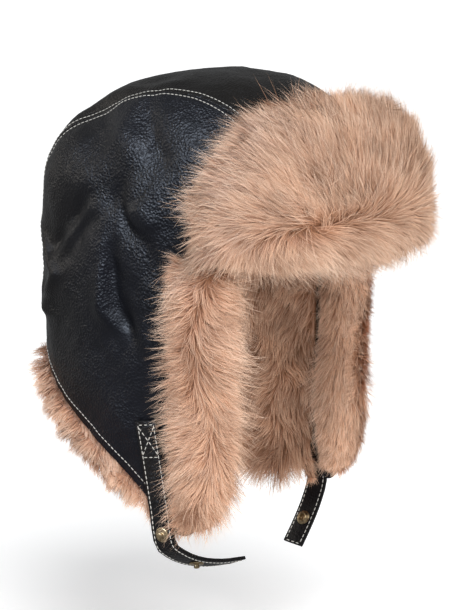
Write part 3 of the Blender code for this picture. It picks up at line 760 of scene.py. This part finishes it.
def sew(name, rows, look, material):
    """Stitches set along rows of points and normals, as one joined piece."""
    model, model_faces = stitch_model(look)
    places, faces, count = [], [], 0
    for path, normals in rows:
        length = lengths_along(path)
        stitches = max(int(length[-1] / look.pitch), 1)
        middle = (np.arange(stitches) + 0.5) * length[-1] / stitches
        spot = at_lengths(path, length, middle)
        ahead = at_lengths(path, length, middle + look.pitch / 4)
        behind = at_lengths(path, length, middle - look.pitch / 4)
        up = unit(at_lengths(normals, length, middle))
        way = unit(ahead - behind)
        side = unit(np.cross(up, way))
        up = np.cross(way, side)
        basis = np.stack([way, side, up], 1)
        points = np.einsum("vk,skj->svj", model, basis) + (spot + up * look.width * 0.3)[:, None]
        places.append(points.reshape(-1, 3))
        first = np.arange(count, count + stitches)[:, None, None] * len(model)
        faces.append((model_faces + first).reshape(-1, 3))
        count += stitches
    item = mesh_object(name, np.concatenate(places), np.concatenate(faces))
    return join_piece(item, "leather", material)


# Straps


def smooth_path(points, count):
    """A smooth curve through points, as evenly spaced points and their lengths along it."""
    points = np.array(points, float)
    lengths = lengths_along(points)
    fine = np.linspace(0, lengths[-1], 200)
    curve = np.stack([read_table(np.stack([lengths, axis], 1), fine) for axis in points.T], 1)
    along = lengths_along(curve)
    even = np.linspace(0, along[-1], count)
    return at_lengths(curve, along, even), even


def strap_line(side, free, hang, count=120):
    """Middle line of a strap, ways along it, outward normals, lengths, and where it leaves the flap."""
    steps = np.linspace(0, 1, 6)
    angle = STRAP_TOP[0] + steps * (STRAP_EXIT[0] - STRAP_TOP[0])
    depth = STRAP_TOP[1] + steps * (STRAP_EXIT[1] - STRAP_TOP[1])
    points = around(angle, CROWN_TOP - depth)
    points[:, 0] *= side
    stand = 2 * GAP + (STRAP_EXIT_STAND - 2 * GAP) * steps**2
    carried = points + outward(points) * (stand + STRAP_THICK / 2)[:, None]
    inward, forward, down = np.array(hang).T * free
    loose = carried[-1] + np.stack([side * inward, -forward, -down], 1)
    line, along = smooth_path(np.concatenate([carried, loose]), count)
    leaves = np.linalg.norm(np.diff(carried, axis=0), axis=1).sum()
    normal = outward(points[:1])[0]
    ways = unit(np.gradient(line, axis=0))
    normals = []
    for way in ways:
        normal = normal - (normal @ way) * way
        normal /= np.linalg.norm(normal)
        normals.append(normal)
    return line, ways, np.array(normals), along, leaves


def strap_rows(line, ways, normals, along, leaves, look):
    """Rows of stitches round a strap's outer face, its X box, and the free part of its inner face."""
    inset = STRAP_WIDTH / 2 - look.inset
    across = unit(np.cross(ways, normals))
    ends = np.linspace(-inset, inset, 8)[:, None]
    first = np.searchsorted(along, look.inset)
    last = np.searchsorted(along, along[-1] - look.inset)
    hang = np.searchsorted(along, leaves + BOX_START)
    rows = []
    for face, start in ((1, first), (-1, hang)):
        up = normals * face
        lift = up * STRAP_THICK / 2
        for edge in (-inset, inset):
            rows.append(((line + across * edge + lift)[start:last], up[start:last]))
        for place in (first, last) if face > 0 else (last,):
            row = line[place] + lift[place] + across[place] * ends
            rows.append((row, np.repeat(up[place : place + 1], 8, 0)))
    low, high = np.searchsorted(along, (look.inset + BOX_START, look.inset + BOX_END))
    up = normals
    lift = up * STRAP_THICK / 2
    for start_edge, end_edge in ((-inset, inset), (inset, -inset)):
        edges = np.linspace(start_edge, end_edge, high - low)[:, None]
        rows.append(((line + lift)[low:high] + across[low:high] * edges, up[low:high]))
    row = line[high] + lift[high] + across[high] * ends
    rows.append((row, np.repeat(up[high : high + 1], 8, 0)))
    return rows


def build_round(name, node, profile, line, ways, normals, along, at, material):
    """A turned brass piece, spun from rows of radius and height and set on a strap."""
    mesh = bpy.data.meshes.new(name)
    edges = [(i, i + 1) for i in range(len(profile) - 1)]
    mesh.from_pydata([(radius, 0, height) for radius, height in profile], edges, [])
    item = object_of(name, mesh)
    merge = dict(use_merge_vertices=True, merge_threshold=1e-6)
    apply_modifier(item, "SCREW", steps=40, render_steps=40, use_normal_calculate=True, **merge)
    select_only(item)
    bpy.ops.object.mode_set(mode="EDIT")
    bpy.ops.mesh.select_all(action="SELECT")
    bpy.ops.mesh.normals_make_consistent(inside=False)
    bpy.ops.object.mode_set(mode="OBJECT")
    bevel(item, 0.00018, 2, 35)
    bpy.ops.object.shade_smooth()
    spot = at_lengths(line, along, at)
    up = unit(at_lengths(normals, along, at))
    side = unit(np.cross(up, at_lengths(ways, along, at)))
    basis = np.stack([np.cross(side, up), side, up])
    set_points(item, points_of(item) @ basis + spot)
    return join_piece(item, "brass", material, node)


def stud_profile():
    """Knob and flange on the outer face, post through the strap and plate behind."""
    face = STRAP_THICK / 2 + PLATE_GAP
    return (
        (0, -face - 0.0011),
        (0.0044, -face - 0.0010),
        (0.0052, -face - 0.0006),
        (0.0053, -face),
        (0.0016, -face),
        (0.0016, face),
        (0.0053, face),
        (0.0051, face + 0.0006),
        (0.0042, face + 0.0010),
        (0.0027, face + 0.0008),
        (0.0018, face + 0.0011),
        (0.0018, face + 0.0022),
        (0.0022, face + 0.0028),
        (0.0019, face + 0.0034),
        (0.0010, face + 0.0037),
        (0, face + 0.0038),
    )


def socket_profile():
    """Domed cap on the outer face, post through the strap, and a rolled ring on the inner face."""
    face = STRAP_THICK / 2 + PLATE_GAP
    return (
        (0, -face - 0.0002),
        (0.0019, -face - 0.0002),
        (0.0021, -face - 0.0016),
        (0.0024, -face - 0.0024),
        (0.0031, -face - 0.0027),
        (0.0038, -face - 0.0021),
        (0.0042, -face - 0.0012),
        (0.0050, -face - 0.0010),
        (0.0053, -face - 0.0005),
        (0.0053, -face),
        (0.0016, -face),
        (0.0016, face),
        (0.0061, face),
        (0.0062, face + 0.0006),
        (0.0054, face + 0.0012),
        (0.0034, face + 0.0016),
        (0, face + 0.0018),
    )


# Fur


def inset_skin(name, node, depth, keep, lumps=None):
    """The base of the pile: the solid drawn in below its fur side, or, when lumps are given, drawn in all
    over and creased with the leather over it.
    """
    item = copy_of(node, name)
    refine(item, 1)
    points, normals = points_of(item), normals_of(item)
    share = np.clip(keep(points, normals), 0, 1) if lumps is None else np.ones(len(points))
    moved = points - normals * (depth * share)[:, None]
    set_points(item, moved if lumps is None else creased(moved, lumps))
    return item


def roots_on(item, count, weight, seed):
    """Evenly scattered roots on a skin, with its normals. Weight gives each place its share of the hair."""
    mesh = item.data
    mesh.calc_loop_triangles()
    triangles = np.empty(len(mesh.loop_triangles) * 3, np.int32)
    mesh.loop_triangles.foreach_get("vertices", triangles)
    triangles = triangles.reshape(-1, 3)
    points, normals = points_of(item), normals_of(item)
    corners = points[triangles]
    areas = np.linalg.norm(np.cross(corners[:, 1] - corners[:, 0], corners[:, 2] - corners[:, 0]), axis=1)
    areas = areas * np.clip(weight(corners.mean(1), unit(normals[triangles].mean(1))), 0, None)
    rng = np.random.default_rng(seed)
    pick = rng.choice(len(triangles), count, p=areas / areas.sum())
    a, b = rng.random((2, count))
    fold = a + b > 1
    a, b = np.where(fold, 1 - a, a)[:, None], np.where(fold, 1 - b, b)[:, None]
    mixed = [values[triangles[pick]] for values in (points, normals)]
    places, ways = (v[:, 0] * (1 - a - b) + v[:, 1] * a + v[:, 2] * b for v in mixed)
    return places, unit(ways)


def hair_curves(roots, normals, ways, lengths, style, steps):
    """Points along each hair, which starts up off the skin and bends over along its comb."""
    lift = style["lift"]
    start = unit(normals * lift + ways * (1 - lift))
    end = unit(normals * lift * style["fall"] + ways + DOWN * style["droop"])
    t = np.array(steps)[:, None, None]
    return roots + lengths[:, None] * (start * (t - t * t / 2) + end * (t * t / 2))


def nearest(centres, points):
    """The nearest centre of each point."""
    tree = kdtree.KDTree(len(centres))
    for i, centre in enumerate(centres):
        tree.insert(centre, i)
    tree.balance()
    return np.array([tree.find(point)[1] for point in points])


def grow(name, skin, count, weight, comb, style, seed, material, slot="fur"):
    """Hair on a skin, as thin tapered ribbons drawn together into locks, joined as one piece."""
    rng = np.random.default_rng(seed)
    steps = style["steps"]
    roots, normals = roots_on(skin, count, weight, seed)
    centres, centre_normals = roots_on(skin, max(count // style["lock"], 8), weight, seed + 1)

    def combed(points, outs, loose, size):
        ways, lengths = comb(points, outs)
        ways = unit(ways) + style["sway"] * drift(points, 0.035, seed + 7)
        ways = ways + 0.5 * style["sway"] * drift(points, 0.012, seed + 17)
        ways = ways + loose * rng.normal(size=points.shape)
        ways = unit(ways - outs * (ways * outs).sum(1, keepdims=True))
        lengths = lengths * rng.uniform(1 - size, 1 + size * 0.5, len(points))
        return hair_curves(points, outs, ways, lengths, style, steps)

    curves = combed(roots, normals, style["loose"], style["uneven"])
    leaders = combed(centres, centre_normals, 0.10, 0.25)
    lock = nearest(centres + centre_normals * SIDE_APART, roots + normals * SIDE_APART)
    t = np.array(steps)[:, None, None]
    gather = style["gather"] * rng.uniform(0.35, 1.0, (count, 1)) * t
    drawn = leaders[:, lock] + (roots - centres[lock]) * (1 - style["pinch"] * t)
    curves = curves + gather * (drawn - curves)
    curves = curves + style["frizz"] * t**2 * rng.normal(size=(1, count, 3))

    rows = len(steps)
    ahead = unit(np.gradient(curves, axis=0))
    twist = rng.normal(0, style["twist"], (count, 1))
    side = unit(np.cross(ahead, normals))
    lean = np.cross(side, ahead)
    side = side * np.cos(twist) + lean * np.sin(twist)
    width = bpy.context.scene.ushanka_fur.width * style["thick"] * rng.uniform(0.7, 1.3, count)
    taper = (1 - np.array(steps) ** 1.6)[:, None, None] * 0.9 + 0.1
    half = side * (width[:, None] / 2) * taper
    points = np.empty((count, 2 * rows - 1, 3))
    points[:, 0 : 2 * rows - 2 : 2] = np.moveaxis(curves[:-1] - half[:-1], 0, 1)
    points[:, 1 : 2 * rows - 2 : 2] = np.moveaxis(curves[:-1] + half[:-1], 0, 1)
    points[:, -1] = curves[-1]
    faces = []
    for row in range(rows - 2):
        a = 2 * row
        faces += [(a, a + 1, a + 3), (a, a + 3, a + 2)]
    faces.append((2 * rows - 4, 2 * rows - 3, 2 * rows - 2))
    faces = (np.array(faces) + np.arange(count)[:, None, None] * (2 * rows - 1)).reshape(-1, 3)

    item = mesh_object(name, points.reshape(-1, 3), faces)
    along = np.repeat(np.array(steps), 2)[:-1]
    along = np.broadcast_to(along, (count, 2 * rows - 1))
    patch = 0.5 + 0.16 * ripple(roots, 0.03, seed + 3) + 0.10 * rng.normal(size=len(centres))[lock]
    shade = np.clip(patch + rng.normal(0, 0.13, count), 0, 1)
    for word, values in (("along", along), ("shade", np.broadcast_to(shade[:, None], along.shape))):
        attribute = item.data.attributes.new(word, "FLOAT", "POINT")
        attribute.data.foreach_set("value", np.ascontiguousarray(values, np.float32).ravel())
    face_way = unit(np.cross(side, ahead))
    smooth = unit(face_way + style["soft"] * normals + 0.25 * unit(drawn[-1] - roots))
    shaded = np.repeat(np.moveaxis(smooth, 0, 1), 2, axis=1)[:, :-1]
    item.data.normals_split_custom_set_from_vertices(shaded.reshape(-1, 3).tolist())
    join_piece(item, slot, material)


def tangents(points):
    """Unit ways towards the wearer's right and up along the form."""
    right = unit(np.cross(DOWN, points * np.array([1, 1, 0])))
    return right, np.broadcast_to(-DOWN, points.shape)


def brim_weight(points, normals):
    facing = (normals * outward(points)).sum(1)
    return np.clip((facing + 0.45) * 3, 0, 1)


def brim_comb(points, normals):
    """The brim's pile parts low in front, sweeps up and back at its ends, and whorls near the right one."""
    right, up = tangents(points)
    angle = angle_of(points)
    rise = (points[:, 2] - BROW_Z) / BRIM_HEIGHT
    over_part = (rise - BRIM_PART_RISE) / 0.16
    above = climb(over_part, -0.5, 0.5)
    sweep = np.clip((angle + 3) / 42, -1.3, 1.5)
    under_sweep = np.where(angle > 0, np.tanh((angle - BRIM_WHORL) / 7), np.clip(angle / 30 - 0.4, -1.2, 0))
    upward = np.tanh(over_part) * (1 - 0.8 * climb(np.abs(angle), 30, 54) * above)
    ways = right * (sweep * above + 0.7 * under_sweep * (1 - above))[:, None] + up * upward[:, None]
    length = BRIM_LENGTH - 0.005 * climb(angle, -20, -45) - 0.0045 * climb(angle, 36, 48)
    length = length - 0.005 * climb(rise, 0.75, 1) * climb(angle, 10, -10)
    return ways, length


def brim_wisps(points, normals):
    """The longer hairs of the brim, longest where they hang over its lower edge."""
    ways, length = brim_comb(points, normals)
    rise = (points[:, 2] - BROW_Z) / BRIM_HEIGHT
    end = climb(angle_of(points), 36, 48)
    return ways, length * (1.32 + 0.15 * end + 0.45 * climb(rise, 0.14, 0.04))


def cuff_weight(points, normals):
    angle = np.abs(angle_of(points))
    form = around(angle, points[:, 2])
    proud = np.linalg.norm(points[:, :2], axis=1) - np.linalg.norm(form[:, :2], axis=1)
    across = np.abs((normals * outward(points)).sum(1)) > 0.5
    slot = (proud > -0.0045) & (proud < 0.0022) & (angle > 51.5) & across
    return np.where(slot, 0.0, 1.0)


def cuff_comb(points, normals):
    """A cuff's pile parts along the middle of its outer face and falls away on both sides."""
    right, up = tangents(points)
    angle = angle_of(points)
    back = right * np.sign(angle)[:, None]
    angle = np.abs(angle)
    depth = CROWN_TOP - points[:, 2]
    outer = (normals * outward(points)).sum(1) > -0.2
    away = np.tanh((angle - read_table(CUFF_PART, depth)) / 3.0)
    low = climb(depth, 0.235, 0.285)
    sideways = np.where(outer, away + 0.35 * low * (away < 0), np.clip((angle - 50) / 14, -0.4, 1.0) * 0.5)
    fall = np.where(outer, 0.18 + 0.25 * (away < 0) + 0.75 * low, 0.85)
    far = points[:, 0] > 0
    fall = np.where(far, 0.6, 1.0) * fall
    ways = back * sideways[:, None] - up * fall[:, None]
    high = climb(depth, 0.225, 0.195)
    rim = 0.0045 * outer * np.clip(away, 0, 1)
    return ways, CUFF_LENGTH - np.where(far, 0.009 * low + 0.0065 * high, 0.004 * low + rim * (1 - low))


def cuff_wisps(points, normals):
    """The longer hairs of the cuffs, shorter on the far one."""
    ways, length = cuff_comb(points, normals)
    return ways, length * np.where(points[:, 0] > 0, 1.4, 1.75)


def below_hem(points):
    angle = np.abs(angle_of(points))
    hem = np.where(points[:, 0] < 0, hem_depth(angle, 1), hem_depth(angle, -1))
    return CROWN_TOP - points[:, 2] - hem


def lining_weight(points, normals):
    facing = (normals * outward(points)).sum(1)
    inside = np.clip(-3 * (facing + 0.35), 0, 1)
    depth = CROWN_TOP - points[:, 2]
    dome = np.clip(0.35 + (depth - 0.05) / 0.08, 0.35, 1)
    return np.where(below_hem(points) > -0.005, 2.4, inside * dome)


def lining_comb(points, normals):
    """The lining is combed down, splits over a crease in the far flap, and flares out under the hem."""
    right, up = tangents(points)
    angle = angle_of(points)
    depth = CROWN_TOP - points[:, 2]
    hang = climb(below_hem(points), -0.006, -0.002)
    split = np.tanh((angle + 93) / 6) * climb(depth, 0.205, 0.235) * (angle < -60)
    top = climb(points[:, 2], WIDEST_Z + 0.03, WIDEST_Z - 0.02)[:, None]
    ways = right * (0.85 * split)[:, None] - up
    ways = ways * top + (unit(points * np.array([1, 1, 0])) - 0.2 * up) * (1 - top)
    far = points[:, 0] > 0
    nape = climb(np.abs(angle), 125, 155)
    fringe = FAR_FRINGE * climb(angle, -75, -86) * climb(angle, -132, -118)
    longer = np.where(far, fringe - 0.006 * climb(angle, -80, -72), 0.003 * (1 - nape))
    ways = ways + outward(points) * (np.where(far, 0.35, 1.1 - 0.7 * nape) * hang)[:, None]
    return ways, LINING_LENGTH + longer * hang


# Settings and operators


class UshankaLeather(bpy.types.PropertyGroup):
    grain: bpy.props.FloatProperty(
        name="Grain", description="Size of the pebbles in the leather", default=0.0017, subtype="DISTANCE"
    )
    gloss: bpy.props.FloatProperty(
        name="Gloss", description="Mean roughness of the leather", default=0.40, subtype="FACTOR"
    )
    lumps: bpy.props.FloatProperty(
        name="Lumps", description="Height of the soft unevenness", default=0.00035, subtype="DISTANCE"
    )


class UshankaStitch(bpy.types.PropertyGroup):
    pitch: bpy.props.FloatProperty(
        name="Pitch", description="Length from stitch to stitch", default=0.0035, subtype="DISTANCE"
    )
    stitch: bpy.props.FloatProperty(
        name="Stitch", description="Length of one stitch", default=0.0028, subtype="DISTANCE"
    )
    width: bpy.props.FloatProperty(
        name="Thread width", description="Width of the sewn thread", default=0.00068, subtype="DISTANCE"
    )
    spread: bpy.props.FloatProperty(
        name="Row spread", description="Distance between the two rows along a seam",
        default=0.0056, subtype="DISTANCE",
    )
    inset: bpy.props.FloatProperty(
        name="Strap inset", description="Distance of the strap's rows from its edge",
        default=0.0019, subtype="DISTANCE",
    )
    hem: bpy.props.FloatProperty(
        name="Hem inset", description="Distance of the hem's row from the edge",
        default=0.006, subtype="DISTANCE",
    )
    thread: bpy.props.FloatVectorProperty(
        name="Thread", description="Colour of the thread", default=(0.66, 0.64, 0.59), subtype="COLOR"
    )


class UshankaFur(bpy.types.PropertyGroup):
    root: bpy.props.FloatVectorProperty(
        name="Root", description="Colour at the root of a hair", default=(0.24, 0.100, 0.047), subtype="COLOR"
    )
    body: bpy.props.FloatVectorProperty(
        name="Body", description="Colour along a hair", default=(0.45, 0.235, 0.140), subtype="COLOR"
    )
    tip: bpy.props.FloatVectorProperty(
        name="Tip", description="Colour at the tip of a hair", default=(0.66, 0.44, 0.31), subtype="COLOR"
    )
    width: bpy.props.FloatProperty(
        name="Hair width", description="Width of a hair at its root", default=0.00036, subtype="DISTANCE"
    )


class UshankaStage(bpy.types.PropertyGroup):
    floor: bpy.props.FloatProperty(
        name="Floor", description="Height of the floor under the hat", default=-0.42, subtype="DISTANCE"
    )
    glow: bpy.props.FloatProperty(
        name="Glow", description="Light that the paper under the hat gives off", default=0.3
    )
    sky: bpy.props.FloatProperty(name="Sky", description="Strength of the light all round", default=0.38)
    sun: bpy.props.FloatProperty(name="Sun", description="Strength of the soft main light", default=2.2)
    front: bpy.props.FloatProperty(
        name="Front", description="Power of the fill light beside the camera", default=32
    )
    sheen: bpy.props.FloatProperty(
        name="Sheen", description="Power of the panels that the leather reflects", default=165
    )


class USHANKA_OT_leather(bpy.types.Operator):
    """Make the crown strip, the side panels and the wall of the brim"""

    bl_idname = "ushanka.leather"
    bl_label = "Leather"

    def execute(self, context):
        look = context.scene.ushanka_leather
        strip = build_leather("crown_strip_leather", "crown_strip", 2, look.lumps, look, 0.9)
        panels = []
        for word, side in (("right", 1), ("left", -1)):
            name = "side_panel_" + word
            panels.append((side, build_leather(name + "_leather", name, 3, look.lumps, look, 0.0)))
        close_seams(strip, panels)
        build_leather("brim_flap_leather", "brim_flap", 1, 0.0, look, 0.5)
        return {"FINISHED"}


class USHANKA_OT_straps(bpy.types.Operator):
    """Make the two halves of the chin strap with their snaps"""

    bl_idname = "ushanka.straps"
    bl_label = "Straps and snaps"

    def execute(self, context):
        look, thread = context.scene.ushanka_leather, context.scene.ushanka_stitch
        leather = leather_material("strap leather", look, 0.6)
        brass = brass_material()
        rows = []
        halves = (("right", 1, RIGHT_FREE, RIGHT_HANG), ("left", -1, LEFT_FREE, LEFT_HANG))
        for word, side, free, hang in halves:
            item = copy_of("strap_" + word, f"strap_{word}_leather")
            bevel(item, 0.0006, 2, 50)
            bpy.ops.object.shade_smooth_by_angle(angle=math.radians(50))
            join_piece(item, "leather", leather, "strap_" + word)
            line = strap_line(side, free, hang)
            rows += strap_rows(*line, thread)
            if side > 0:
                for name, at in (("stud_right_upper", UPPER_STUD_AT), ("stud_right_lower", LOWER_STUD_AT)):
                    build_round(name + "_brass", name, stud_profile(), *line[:4], line[4] + at, brass)
            else:
                name, at = "snap_socket_left", line[3][-1] - SOCKET_FROM_END
                build_round(name + "_brass", name, socket_profile(), *line[:4], at, brass)
        sew("strap_stitches", rows, thread, thread_material(thread))
        return {"FINISHED"}


class USHANKA_OT_stitches(bpy.types.Operator):
    """Sew the double rows along the crown seams and the row round the hem"""

    bl_idname = "ushanka.stitches"
    bl_label = "Topstitching"

    def lay_welts(self, rows, look):
        """Dark leather ribbons between the two rows of each seam, just under the surface."""
        points = [place - normals * WELT_DEPTH for place, normals in rows]
        faces = []
        count = len(points[0])
        for first in (0, 2 * count):
            for i in range(first, first + count - 1):
                faces += [(i, i + 1, i + count + 1), (i, i + count + 1, i + count)]
        item = mesh_object("seam_welts", np.concatenate(points), np.array(faces))
        join_piece(item, "leather", leather_material("welt leather", look, 0.9))

    def execute(self, context):
        look = context.scene.ushanka_stitch
        shells = ("crown_strip", "side_panel_right", "side_panel_left")
        tree = tree_of([bpy.data.objects[name + "_leather"] for name in shells])
        turns = np.linspace(BROW_TURN + 2, NAPE_TURN - 1, 420)
        rows = []
        for side in (-1, 1):
            for shift in (-look.spread / 2, look.spread / 2):
                path = over(side * (strip_half_width(turns) + shift), turns)
                rows.append(landed(tree, sunk(path), outward(path)))
        seams = sew("seam_stitches", rows, look, thread_material(look))
        self.lay_welts(rows, context.scene.ushanka_leather)
        rows = []
        angles = np.linspace(*HEM_ANGLES, 260)
        for side in (1, -1):
            path = around(angles, CROWN_TOP - hem_depth(angles, side) + look.hem)
            slope = np.gradient(path, axis=0)
            lean = np.arctan2(slope[:, 2], np.linalg.norm(slope[:, :2], axis=1))
            path = around(angles, path[:, 2] + look.hem * (1 / np.cos(lean) - 1))
            path[:, 0] *= side
            rows.append(landed(tree, path, outward(path)))
        sideways = np.linspace(-NAPE_HEM, NAPE_HEM, 90)
        path = over(sideways, NAPE_TURN - look.hem / TURN_LENGTH)
        rows.append(landed(tree, path, outward(path)))
        sew("hem_stitches", rows, look, seams.data.materials[0])
        return {"FINISHED"}


class USHANKA_OT_brim_fur(bpy.types.Operator):
    """Grow the deep pile of the turned-up brim"""

    bl_idname = "ushanka.brim_fur"
    bl_label = "Brim fur"

    def execute(self, context):
        fur = context.scene.ushanka_fur
        skin = inset_skin("brim_fur_base", "brim_fur", BRIM_INSET, brim_weight)
        hair = hair_material("brim hair", fur, 1.0)
        wisps = hair_material("brim guard hair", fur, 1.10, 0.45)
        grow("brim_fur_under", skin, 60000, brim_weight, brim_comb, BRIM_PILE, 11, hair)
        grow("brim_fur_guard", skin, 17000, brim_weight, brim_wisps, BRIM_WISPS, 12, wisps)
        join_piece(skin, "fur", skin_material("brim base", fur), "brim_fur")
        return {"FINISHED"}


class USHANKA_OT_cuff_fur(bpy.types.Operator):
    """Grow the pile of the cuffs on the front edges of the ear flaps"""

    bl_idname = "ushanka.cuff_fur"
    bl_label = "Cuff fur"

    def execute(self, context):
        fur = context.scene.ushanka_fur
        # The cuff hair and its guard hair are painted brighter than the brim's, to lift them out of the shade
        # under the brim.
        hair = hair_material("cuff hair", fur, 1.23)
        wisps = hair_material("cuff guard hair", fur, 1.25, 0.45)
        base = skin_material("cuff base", fur)
        for number, word in enumerate(("right", "left")):
            node = "flap_cuff_" + word
            skin = inset_skin(node + "_base", node, CUFF_INSET, cuff_weight)
            grow(node + "_under", skin, 22000, cuff_weight, cuff_comb, CUFF_PILE, 31 + number, hair)
            grow(node + "_guard", skin, 9000, cuff_weight, cuff_wisps, CUFF_WISPS, 41 + number, wisps)
            join_piece(skin, "fur", base, node)
        return {"FINISHED"}


class USHANKA_OT_lining_fur(bpy.types.Operator):
    """Grow the pile of the lining and of its roll below the hem"""

    bl_idname = "ushanka.lining_fur"
    bl_label = "Lining fur"

    def execute(self, context):
        fur = context.scene.ushanka_fur
        lumps = context.scene.ushanka_leather.lumps
        # The lining hair is painted a little brighter against the shade inside the hat. The near flap's hem
        # hair is a painted lit copy of it, brighter still and with whitened tips.
        hair = hair_material("lining hair", fur, 1.05)
        pale = hair_material("near hem hair", fur, 1.25, 0.5)
        base = skin_material("lining base", fur)
        for number, (node, count) in enumerate(LININGS):
            skin = inset_skin(node + "_base", node, LINING_INSET, lining_weight, lumps)
            # The near flap's lining takes the painted lit copy.
            look = pale if number == 0 else hair
            name, seed = node + "_hair", 51 + number
            grow(name, skin, count, lining_weight, lining_comb, LINING_PILE, seed, look, "lining_fur")
            join_piece(skin, "lining_fur", base, node)
        return {"FINISHED"}


class USHANKA_OT_stage(bpy.types.Operator):
    """Set the floor, the lights and the camera"""

    bl_idname = "ushanka.stage"
    bl_label = "Stage"

    def execute(self, context):
        look = context.scene.ushanka_stage
        scene = context.scene
        bpy.ops.object.select_all(action="DESELECT")
        bpy.ops.mesh.primitive_plane_add(size=60, location=(0, 0, look.floor))
        floor = context.object
        floor.name = "floor"
        bpy.ops.object.transform_apply(location=True, rotation=True, scale=True)
        paper = Nodes("pale floor")
        mottle = paper.noise(paper.where(), 3, 2.0)
        tone = paper.ramp(mottle, ((0.3, (0.93, 0.93, 0.93)), (0.7, (0.95, 0.95, 0.95))))
        white = (1, 1, 1, 1)
        finish = {"Base Color": tone, "Roughness": 0.9, "Specular IOR Level": 0.1, "Emission Color": white}
        floor.visible_glossy = False
        floor.data.materials.append(paper.finish({**finish, "Emission Strength": look.glow}))

        world = bpy.data.worlds.new("studio")
        world.use_nodes = True
        background = world.node_tree.nodes["Background"]
        background.inputs["Color"].default_value = (0.96, 0.98, 1.0, 1)
        background.inputs["Strength"].default_value = look.sky
        scene.world = world

        def lamp(name, kind, energy, place, target, colour=(1, 1, 1), **settings):
            data = bpy.data.lights.new(name, kind)
            data.energy = energy
            data.color = colour
            for key, value in settings.items():
                setattr(data, key, value)
            item = object_of(name, data)
            item.location = place
            item.rotation_euler = (Vector(target) - Vector(place)).to_track_quat("-Z", "Y").to_euler()
            return item

        lamp("main light", "SUN", look.sun, (-1.2, -1.6, 2.6), (0, 0, -0.15), angle=math.radians(35))
        front = lamp("front panel", "AREA", look.front, (-1.5, -1.9, 0.05), (0, 0, -0.18), size=1.3)
        front.visible_glossy = False
        cool, warm = (0.74, 0.84, 1.0), (1.0, 0.93, 0.84)
        sheen = lamp("cool panel", "AREA", look.sheen, (-1.8, 0.0, 1.3), (0, 0, -0.08), cool, size=0.8)
        sheen.visible_diffuse = False
        power = look.sheen * 0.06
        edge = lamp("back panel", "AREA", power, (-0.7, 1.7, 0.5), (0, 0, -0.12), warm, size=0.5)
        edge.visible_diffuse = False

        data = bpy.data.cameras.new("camera")
        camera = object_of("camera", data)
        camera.location = CAMERA_PLACE
        camera.rotation_euler = Vector(CAMERA_WAY).to_track_quat("-Z", "Y").to_euler()
        data.sensor_width = 36
        data.lens = CAMERA_LENS
        data.shift_x, data.shift_y = CAMERA_SHIFT
        scene.camera = camera
        scene.view_settings.view_transform = "Standard"
        return {"FINISHED"}


class USHANKA_PT_panel(bpy.types.Panel):
    """Lists the settings and the steps in order"""

    bl_label = "Ushanka"
    bl_idname = "USHANKA_PT_panel"
    bl_space_type = "VIEW_3D"
    bl_region_type = "UI"
    bl_category = "Ushanka"

    def draw(self, context):
        for name, group in GROUPS:
            box = self.layout.box()
            for key in group.__annotations__:
                box.prop(getattr(context.scene, name), key)
        for step in STEPS:
            self.layout.operator(step.bl_idname)


GROUPS = (
    ("ushanka_leather", UshankaLeather),
    ("ushanka_stitch", UshankaStitch),
    ("ushanka_fur", UshankaFur),
    ("ushanka_stage", UshankaStage),
)
STEPS = (
    USHANKA_OT_stage,
    USHANKA_OT_leather,
    USHANKA_OT_straps,
    USHANKA_OT_stitches,
    USHANKA_OT_brim_fur,
    USHANKA_OT_cuff_fur,
    USHANKA_OT_lining_fur,
)


def register():
    for name, group in GROUPS:
        bpy.utils.register_class(group)
        setattr(bpy.types.Scene, name, bpy.props.PointerProperty(type=group))
    for step in (*STEPS, USHANKA_PT_panel):
        bpy.utils.register_class(step)


def unregister():
    for step in (USHANKA_PT_panel, *reversed(STEPS)):
        bpy.utils.unregister_class(step)
    for name, group in reversed(GROUPS):
        delattr(bpy.types.Scene, name)
        bpy.utils.unregister_class(group)


def main():
    register()
    bpy.ops.ushanka.stage()
    bpy.ops.ushanka.leather()
    bpy.ops.ushanka.straps()
    bpy.ops.ushanka.stitches()
    bpy.ops.ushanka.brim_fur()
    bpy.ops.ushanka.cuff_fur()
    bpy.ops.ushanka.lining_fur()


if __name__ == "__main__":
    main()
